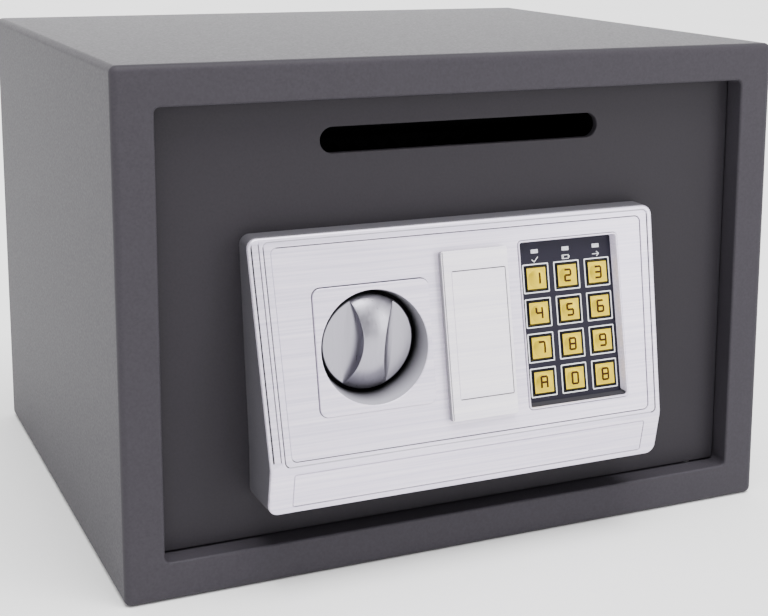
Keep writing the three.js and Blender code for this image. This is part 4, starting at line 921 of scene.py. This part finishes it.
def cover_plate():
    """The pull-off plate over the override lock, with a shallow inner rectangle and two clips; painted
    shade darkens its groove, a line near its left edge and its sides.
    """
    form = Form()
    outline = centred(COVER_U, COVER_V, COVER_WIDTH, COVER_HEIGHT, 1.2)
    inner = centred(COVER_U + COVER_FIELD_SHIFT, COVER_V, COVER_FIELD_WIDTH, COVER_FIELD_HEIGHT, 0.8)
    # Painted shade: a thin near-black line near the left edge stands for the shade along the plate's
    # rounded left corner
    line = centred(COVER_U - COVER_WIDTH / 2 + 0.7, COVER_V, 0.5, COVER_HEIGHT - 1, 0.2, 2)
    edge = 0.25
    face, low, back = -COVER_RISE, VALLEY - COVER_RISE, 0.3
    near = rounding(face, edge, 1)
    form.slot = 3
    form.walls(outline, near, on_face)
    form.cap(outline(edge), [inner(), line()], on_face, face)
    ditch = [(0, face), (0.05, low), (0.5, low), (0.55, face + 0.02)]
    # Painted shade: the inner groove's floor is near black, except along its left side
    form.groove(inner, ditch, on_face, low, lambda u, v: 1 if u > COVER_U - 12 else 3)
    form.cap(inner(0.55), [], on_face, face + 0.02)
    form.walls(line, [(0, face), (0.05, low)], on_face)
    form.slot = 1
    form.cap(line(0.05), [], on_face, low)
    # Painted shade: the plate's sides and back take the darker silver, as they lie in shade
    form.slot = 2
    form.raised(outline, [near[-1], *rounding(back, edge, -1)[::-1]], on_face)
    form.slot = 0
    for side in (-1, 1):
        clip = centred(COVER_U + side * CLIP_REACH, COVER_V, 1.6, 20, 0.4)
        slab(form, clip, [], on_face, 0.2, 5, 0.2)
    piece = form.piece("cover_plate", ["silver_panel", "groove_shade", "side_shade", "silver_cover"])
    standing_for(piece, "cover_plate", "key_cover")


# Keypad
PAD_FRONT = WINDOW_DEPTH + 0.3
PAD_SHEET = 1.6
KEY_SIZE = 11.5
KEY_PITCH_U = 17.6
KEY_PITCH_V = 17.3
KEY_ROWS_TOP = 18.6
KEY_RISE = 0.5
KEY_DOME = 0.5
KEY_BORDER = 0.2
FRAME_SIZE = 14.6
RING_SIZE = 13.45
STROKE = 1.05
INK_RISE = 0.06
INK_SINK = 0.05
DOME_RADIUS = 4.6
DOME_SEAT = 0.1
DIGIT_WIDTH = 3.3
DIGIT_HEIGHT = 5.6
DIGIT_GAP = 0.55
LENS_TOP = 5.1
MARKS_BELOW = 4.2
MARK_STROKE = 0.35
KEYS = "123456789a0b"


def key_place(name):
    """Where a key's middle is: three to a row, from the top left."""
    row, column = divmod(KEYS.index(name), 3)
    return WINDOW_U + (column - 1) * KEY_PITCH_U, -WINDOW_TOP - KEY_ROWS_TOP - row * KEY_PITCH_V


def frames_of_ink(form, slot, outer, inner):
    """A thin square frame of ink on the label round each key."""
    form.slot = slot
    face = PAD_FRONT - INK_SINK
    for u, v in map(key_place, KEYS):
        outline = centred(u, v, outer, outer, 0.5, 3)
        hole = centred(u, v, inner, inner, 0.3, 3)
        form.cap(outline(), [hole()], on_face, face)
        for loop in (outline, hole):
            form.walls(loop, [(0, face), (0, PAD_FRONT + INK_SINK)], on_face)


def stroke(form, points, width, place, depth):
    """A thin raised line of ink through points."""
    points = [Vector(p) for p in points]
    for first, last in zip(points, points[1:]):
        way = (last - first).normalized() * width / 2
        side = Vector((-way.y, way.x))
        corners = (first - way + side, last + way + side, last + way - side, first - way - side)
        levels = (depth + INK_SINK, depth - INK_RISE)
        form.loft([[place(c.x, c.y, level) for c in corners] for level in levels], ends=True)


# A tick, a cell and an arrow under the lenses: column and points of each line
PICTOGRAMS = (
    (-1, ((-1.6, 0), (-0.4, -1.1), (1.7, 1.2))),
    (0, ((-1.9, -0.9), (1.6, -0.9), (1.6, 0.9), (-1.9, 0.9), (-1.9, -0.9))),
    (0, ((2.1, -0.35), (2.1, 0.35))),
    (0, ((-1.2, -0.35), (-1.2, 0.35))),
    (1, ((-1.9, 0), (1.6, 0))),
    (1, ((0.5, 1.1), (1.7, 0), (0.5, -1.1))),
)


def label():
    """The dark label with a hole for each key, frames of ink round them and pictograms."""
    form = Form()
    hole = KEY_SIZE + 0.7
    holes = [centred(u, v, hole, hole, 0.4, 3) for u, v in map(key_place, KEYS)]
    slab(form, window_outline(1.9), holes, on_face, PAD_FRONT, PAD_FRONT + PAD_SHEET, 0.1)
    frames_of_ink(form, 1, FRAME_SIZE, RING_SIZE)
    v = -WINDOW_TOP - LENS_TOP - MARKS_BELOW
    for column, line in PICTOGRAMS:
        u = WINDOW_U + column * KEY_PITCH_U
        stroke(form, [(u + x, v + z) for x, z in line], MARK_STROKE, on_face, PAD_FRONT)
    frames_of_ink(form, 2, RING_SIZE, KEY_SIZE + 0.4)
    piece = form.piece("keypad_label", ["navy_label", "white_ink", "black_ink"])
    standing_for(piece, "door", "keypad_plate")


SEGMENTS = {
    "0": "abcdef", "1": "bc", "2": "abged", "3": "abgcd", "4": "fgbc", "5": "afgcd", "6": "afgedc",
    "7": "abc", "8": "abcdefg", "9": "abcdfg", "a": "abcefg", "b": "abcdefg",
}


def dome(distance):
    """Height of a key's top over its flat corners."""
    if distance >= DOME_RADIUS:
        return 0.0
    sphere = (DOME_RADIUS**2 + KEY_DOME**2) / (2 * KEY_DOME)
    return sqrt(sphere**2 - distance**2) - sphere + KEY_DOME


def segment_lines():
    """The ends of a character's seven bars, from its middle."""
    w, h = DIGIT_WIDTH / 2, DIGIT_HEIGHT / 2
    short, low, high = w - DIGIT_GAP, DIGIT_GAP, h - DIGIT_GAP
    return {
        "a": ((-short, h), (short, h)),
        "g": ((-short, 0), (short, 0)),
        "d": ((-short, -h), (short, -h)),
        "f": ((-w, high), (-w, low)),
        "e": ((-w, -low), (-w, -high)),
        "b": ((w, high), (w, low)),
        "c": ((w, -low), (w, -high)),
    }


def keys():
    for name in KEYS:
        key(name)


def key(name):
    """A key with a shallow dome, its character and the flange behind the label."""
    u, v = key_place(name)
    form = Form()
    outline = centred(u, v, KEY_SIZE, KEY_SIZE, 0.5, 4)
    top = PAD_FRONT - KEY_RISE
    back = PAD_FRONT + PAD_SHEET + 0.3
    edge = 0.3
    form.slot = 2
    form.walls(outline, rounding(top, edge, 1) + [(0, back)], on_face)
    circle = disc(u, v, DOME_RADIUS, 32)
    gilt = outline(edge + KEY_BORDER)
    form.cap(outline(edge), [gilt], on_face, top)
    form.slot = 0
    form.cap(gilt, [circle()], on_face, top)

    def height(distance):
        return top - dome(distance) - DOME_SEAT

    insets = (0.12, 0.8, 1.6, 2.4, 3.2, 4.0, 4.5)
    form.raised(circle, [(0, top)] + [(inset, height(DOME_RADIUS - inset)) for inset in insets], on_face)
    form.cap(outline(), [], on_face, back)
    flange = centred(u, v, KEY_SIZE + 2, KEY_SIZE + 2, 0.5, 3)
    slab(form, flange, [], on_face, back, back + 1, 0.1)
    form.slot = 1

    def on_dome(x, z, depth):
        return on_face(x, z, height(hypot(x - u, z - v)) + depth)

    lines = segment_lines()
    for segment in SEGMENTS[name]:
        first, last = (Vector(end) + Vector((u, v)) for end in lines[segment])
        stroke(form, [first, (first + last) / 2, last], STROKE, on_dome, -0.04)
    piece = form.piece("keycap_" + name, ["gold_key", "brown_ink", "black_ink"])
    standing_for(piece, f"key_{name}_body", f"key_{name}")


def lenses():
    form = Form()
    v = -WINDOW_TOP - LENS_TOP
    for column in (-1, 0, 1):
        outline = centred(WINDOW_U + column * KEY_PITCH_U, v, 4, 2, 0.3, 3)
        slab(form, outline, [], on_face, PAD_FRONT - 0.25, PAD_FRONT + PAD_SHEET, 0.15)
    standing_for(form.piece("signal_lenses", ["pale_lens"]), "door", "lens_strip")


# Knob
KNOB_RADIUS = (knob_high.x - knob_low.x) / 2
KNOB_RIM_Y = DOOR_FRONT - 13.0
GRIP_RISE = KNOB_RIM_Y - knob_low.y
GRIP_WAIST = 11.0
GRIP_CURVE = 38.0
GRIP_LEAN = radians(5)
KNOB_SCOOP = 9.0
KNOB_SIDES = 96
KNOB_EDGE = 0.8
KNOB_SINK = 0.08
GRIP_STEPS = 40
GRIP_EDGE = 0.4


def knob():
    """A round knob with a domed bar across it, hollow on both sides."""
    form = Form()
    lean = Matrix.Rotation(GRIP_LEAN, 3, "Y")

    def place(x, z, height):
        return Vector((KNOB_X, KNOB_RIM_Y, KNOB_Z)) + lean @ Vector((x, -height, z))

    foot = KNOB_RIM_Y - knob_high.y
    profile = [(0, foot), (KNOB_RADIUS - 0.3, foot), (KNOB_RADIUS, foot + 0.3), (KNOB_RADIUS, -KNOB_EDGE)]
    for a in quarter(5)[1:]:
        profile.append((KNOB_RADIUS + KNOB_EDGE * (cos(a) - 1), KNOB_EDGE * (sin(a) - 1)))
    profile += [(KNOB_RADIUS - KNOB_EDGE - 0.5, -KNOB_SINK), (0, -KNOB_SINK)]
    turned(form, profile, place, KNOB_SIDES)
    reach = KNOB_RADIUS - KNOB_EDGE * 0.4
    sphere = (KNOB_RADIUS**2 + GRIP_RISE**2) / (2 * GRIP_RISE)

    def crown(x, z):
        return sqrt(sphere**2 - x * x - z * z) - sphere + GRIP_RISE

    rings = []
    for k in range(-GRIP_STEPS, GRIP_STEPS + 1):
        z = reach * sin(radians(90) * k / GRIP_STEPS)
        rim = sqrt(max(reach**2 - z * z, 0))
        waist = GRIP_WAIST / 2 + GRIP_CURVE - sqrt(GRIP_CURVE**2 - z * z)
        half = min(waist, rim + 0.02)
        side = crown(half, z)
        soft = min(GRIP_EDGE, side * 0.6, half * 0.5)
        scoop = max(min(KNOB_SCOOP, (side - soft) * 0.9, rim - half), 0.01)
        line = [(half + scoop, -0.5)]
        line += [(half + inset, y - 0.09) for inset, y in rounding(0, scoop, 1, 6)]
        line.append((half, max(side - soft, -0.3)))
        for a in quarter(4)[1:]:
            x = half - soft * (1 - cos(a))
            line.append((x, max(side - soft + soft * sin(a), -0.3) + crown(x, z) - side))
        line += [((half - soft) * t, crown((half - soft) * t, z)) for t in (0.8, 0.6, 0.4, 0.2)]
        ring = [place(-x, z, y) for x, y in line] + [place(0, z, crown(0, z))]
        rings.append(ring + [place(x, z, y) for x, y in reversed(line)])
    form.loft(rings, ends=True)
    standing_for(form.piece("turn_knob", ["silver_knob"], 50), "knob_and_cam", "knob")


# Inside
COVER_SHEET = 1.5
COVER_CORNER = 5.0
COVER_EDGE = 2.0
BAY_INSET = 4.0
BUTTON_STEP = 2.0
NUT_HOLE = 2.3
RIBS = 5
RIB_RADIUS = 2.5
RIB_INSET = 16.0
GRIP_BARS = 4
GRIP_PITCH = 2.4
CELL_NUB = 1.0
CELL_CAP = 14.0
CELL_EDGE = 0.6
BOLT_CHAMFER = 1.5


def inner_cover():
    """The box over the lock work: rounded shell with ribs, battery bay, reset hole and bolt notches."""
    middle, half = middle_and_half("inner_cover")
    nut, nut_half = middle_and_half("cover_nut_upper")
    flange = 2 * nut_half.z + 0.58
    low_z, high_z = cover_low.z + flange, cover_high.z - flange
    front, back = cover_low.y + COVER_SHEET, cover_high.y
    shell = rect(cover_low.x, cover_high.x, low_z, high_z, COVER_CORNER)
    form = Form()
    form.raised(shell, [(0, front), *rounding(back, COVER_EDGE, -1)[::-1]], upright)
    form.cap(shell(), [], upright, front)
    piece = form.piece("cover_box", ["black_plastic"])
    bay = box_rect(lid_low, lid_high, 0.8, BAY_INSET)
    reset, reset_half = middle_and_half("reset_button")
    reset_radius = reset_half.x - BUTTON_STEP
    tools = [
        cutter(lambda: shell(COVER_SHEET), upright, front - 1, back - COVER_SHEET),
        cutter(bay, upright, back - 3, back + 1),
        cutter(disc(reset.x, reset.z, reset_radius + RUN_GAP, 32), upright, back - 3, back + 1),
    ]
    for bolt in ("bolt_lower", "bolt_upper"):
        low, high = span(bolt)
        notch = rect(front - 12, high.y + RUN_GAP, low.z - RUN_GAP, high.z + RUN_GAP, (high.z - low.z) / 2)
        tools.append(cutter(notch, sideways, cover_low.x - 1, cover_low.x + 3))
    cut(piece, *tools)
    standing_for(piece, "door", "inner_cover")
    trim = Form()
    strip_height = flange + COVER_SHEET
    for z, way in ((cover_low.z, 1), (cover_high.z, -1)):
        strip = centred(middle.x, z + way * strip_height / 2, 2 * half.x, strip_height, 1.0)
        hole = disc(nut.x, z + way * flange / 2, NUT_HOLE, 24)
        slab(trim, strip, [hole], upright, cover_low.y, front + COVER_SHEET / 2)
    for i in range(1, RIBS + 1):
        z = low_z + (high_z - low_z) * i / (RIBS + 1)
        left, right = cover_low.x + RIB_INSET, lid_low.x - RIB_INSET
        rib = rect(left, right, z - RIB_RADIUS, z + RIB_RADIUS, RIB_RADIUS, 8)
        steps = ((0, -0.4), (0.3, 0.3), (0.9, 0.7), (1.8, 0.8))
        trim.raised(rib, [(inset, back + rise) for inset, rise in steps], upright)
    steps = ((0, -0.4), (0.1, 0.5), (0.5, 0.7), (1.2, 0.7), (1.6, -0.4))
    ring = disc(reset.x, reset.z, reset_radius + 2.5, 32)
    trim.walls(ring, [(inset, back + rise) for inset, rise in steps], upright)
    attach(trim.piece("cover_trim", ["black_plastic"]), "door")


def battery_lid():
    """The hinged lid of the battery bay, with grip bars."""
    form = Form()
    face = lid_high.y
    slab(form, box_rect(lid_low, lid_high, 2.0), [], upright, lid_low.y, face, 0.6)
    for i in range(GRIP_BARS):
        z = lid_high.z - 6 - GRIP_PITCH * i
        bar = rect(lid_low.x + 18, lid_high.x - 18, z - 0.6, z + 0.6, 0.6, 4)
        form.raised(bar, [(0, face - 0.2), (0.1, face + 0.3), (0.5, face + 0.5)], upright)
    standing_for(form.piece("bay_lid", ["black_plastic"]), "lid", "battery_lid")


def cells():
    """Dry cells with a metal cap, laid head to tail."""
    for i in range(1, 5):
        middle, half = middle_and_half(f"battery_{i}")
        radius, end = half.z, half.x
        neck = end - CELL_NUB
        wrap = neck - CELL_CAP
        place = along_x(middle, 1 if i % 2 else -1)
        form = Form()
        foot = [(0, -end), (radius - CELL_EDGE, -end), (radius, CELL_EDGE - end), (radius, wrap)]
        turned(form, foot, place, 32)
        form.slot = 1
        cap = [(radius, wrap), (radius, neck - CELL_EDGE), (radius - 0.7, neck), (3.2, neck)]
        cap += [(2.6, neck + 0.2), (2.6, end - 0.3), (2.3, end), (0, end)]
        turned(form, cap, place, 32)
        standing_for(form.piece(f"cell_{i}", ["cell_wrap", "brass"]), "door", f"battery_{i}")


def bolts():
    """Round bolts with chamfered ends."""
    for name in ("bolt_lower", "bolt_upper"):
        middle, half = middle_and_half(name)
        radius, end = half.z, half.x
        profile = [(0, -end), (radius - BOLT_CHAMFER, -end), (radius, BOLT_CHAMFER - end)]
        profile += [(radius, end - 0.5), (radius - 0.5, end), (0, end)]
        form = Form()
        turned(form, profile, along_x(middle), 40)
        standing_for(form.piece("round_" + name, ["bright_steel"]), "bolt_work", name)


def cover_nuts():
    """Hexagon nuts with chamfered corners."""
    for name in ("cover_nut_lower", "cover_nut_upper"):
        middle, half = middle_and_half(name)
        front, back = middle.y - half.y, middle.y + half.y
        hexagon = disc(middle.x, middle.z, half.z, 6, 90)
        hole = disc(middle.x, middle.z, NUT_HOLE, 24)
        rim = [(0.35, front), (0, front + 0.25), (0, back - 0.25), (0.35, back)]
        form = Form()
        form.walls(hexagon, rim, upright)
        for inset, y in (rim[0], rim[-1]):
            form.cap(hexagon(inset), [hole()], upright, y)
        form.walls(hole, [(0, front), (0, back)], upright)
        standing_for(form.piece("hex_" + name, ["zinc"]), "door", name)


def reset_button():
    """A stepped button, with its wide collar behind the inner cover."""
    middle, half = middle_and_half("reset_button")
    wide, narrow = half.x, half.x - BUTTON_STEP
    foot, tip = middle.y - half.y, middle.y + half.y
    seat = cover_high.y - COVER_SHEET - RUN_GAP
    collar = seat - 1.2
    profile = [(0, foot), (narrow, foot), (narrow, collar), (wide, collar), (wide, seat), (narrow, seat)]
    profile += [(narrow, tip - 0.7), (narrow - 0.3, tip - 0.25), (narrow - 1.0, tip), (0, tip - 0.1)]
    form = Form()
    turned(form, profile, around(middle), 32)
    standing_for(form.piece("reset_cap", ["red_plastic"]), "reset", "reset_button")


def mat():
    """The laid floor mat: a thin sheet with soft edges."""
    low, high = span("floor_mat")
    form = Form()
    slab(form, rect(low.x, high.x, low.y, high.y, 3.0), [], level, low.z, high.z, 1.0)
    piece = standing_for(form.piece("laid_mat", ["felt"]), "case", "floor_mat")


# Stage


FLOOR_REACH = 30.0


def stage():
    """A pale floor, a world that is brighter on one side, a soft sun and two soft boxes."""
    mesh = bpy.data.meshes.new("floor")
    corners = [(x * FLOOR_REACH, y * FLOOR_REACH, 0) for x, y in ((-1, -1), (1, -1), (1, 1), (-1, 1))]
    mesh.from_pydata(corners, [], [(0, 1, 2, 3)])
    moulded("pale_floor", (0.93, 0.93, 0.93), 0.9, scale=3, contrast=0.01, depth=0.0)
    mesh.materials.append(FINISH["pale_floor"])
    floor = linked("floor", mesh)
    floor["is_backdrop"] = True
    world = bpy.data.worlds.new("studio")
    bpy.context.scene.world = world
    world.use_nodes = True
    tree = world.node_tree
    parts = node(tree, "SeparateXYZ", vector=node(tree, "TexCoord").outputs["Generated"])
    spread = node(tree, "MapRange", value=parts.outputs["Y"], from_min=-1)
    color = ramp(tree, spread, (0.0, (0.5, 0.5, 0.51)), (0.75, (1.5, 1.5, 1.5)))
    tree.links.new(color, tree.nodes["Background"].inputs["Color"])
    sun = lamp("key_light", "SUN", 5.0, (0.05, -0.3, 0.95))
    sun.data.angle = radians(45)
    soft_box("side_box", (1.3, -1.6, 0.75), 0.8, 1.2, 17)
    soft_box("back_box", (0.9, 2.6, 0.5), 3.0, 0.5, 34)


def lamp(name, kind, power, toward):
    """A lamp that shines from a direction."""
    data = bpy.data.lights.new(name, kind)
    data.energy = power
    made = linked(name, data)
    made.rotation_euler = Vector(toward).to_track_quat("Z", "Y").to_euler()
    return made


def soft_box(name, place, width, height, power):
    """A rectangular lamp that faces the middle of the safe."""
    made = lamp(name, "AREA", power, Vector(place) - Vector((0, 0, 0.12)))
    made.location = place
    made.data.shape = "RECTANGLE"
    made.data.size = width
    made.data.size_y = height


def camera():
    data = bpy.data.cameras.new("camera")
    width, height = 768, 616
    focal = 1516.48
    middle_x, middle_y = 455, 185
    data.sensor_width = 36
    data.lens = focal * data.sensor_width / width
    data.shift_x = (width / 2 - middle_x) / width
    data.shift_y = (middle_y - height / 2) / width
    data.clip_end = 100
    view = linked("camera", data)
    view.location = Vector((-320.99, -799.34, 318.54)) * MM
    view.rotation_euler = [radians(a) for a in (79.6256, -0.6086, -25.4822)]
    bpy.context.scene.camera = view


for build in (
    camera, stage, finish_nodes,
    safe_body, safe_door, panel_housing, panel_cover, well_plate, cover_plate, label, keys, lenses, knob,
    inner_cover, battery_lid, cells, bolts, cover_nuts, reset_button, mat,
):
    build()


def corners(bounds):
    return [list(corner) for corner in bounds]


{"cad": corners(CAD_BOX), "visual": corners(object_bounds())}
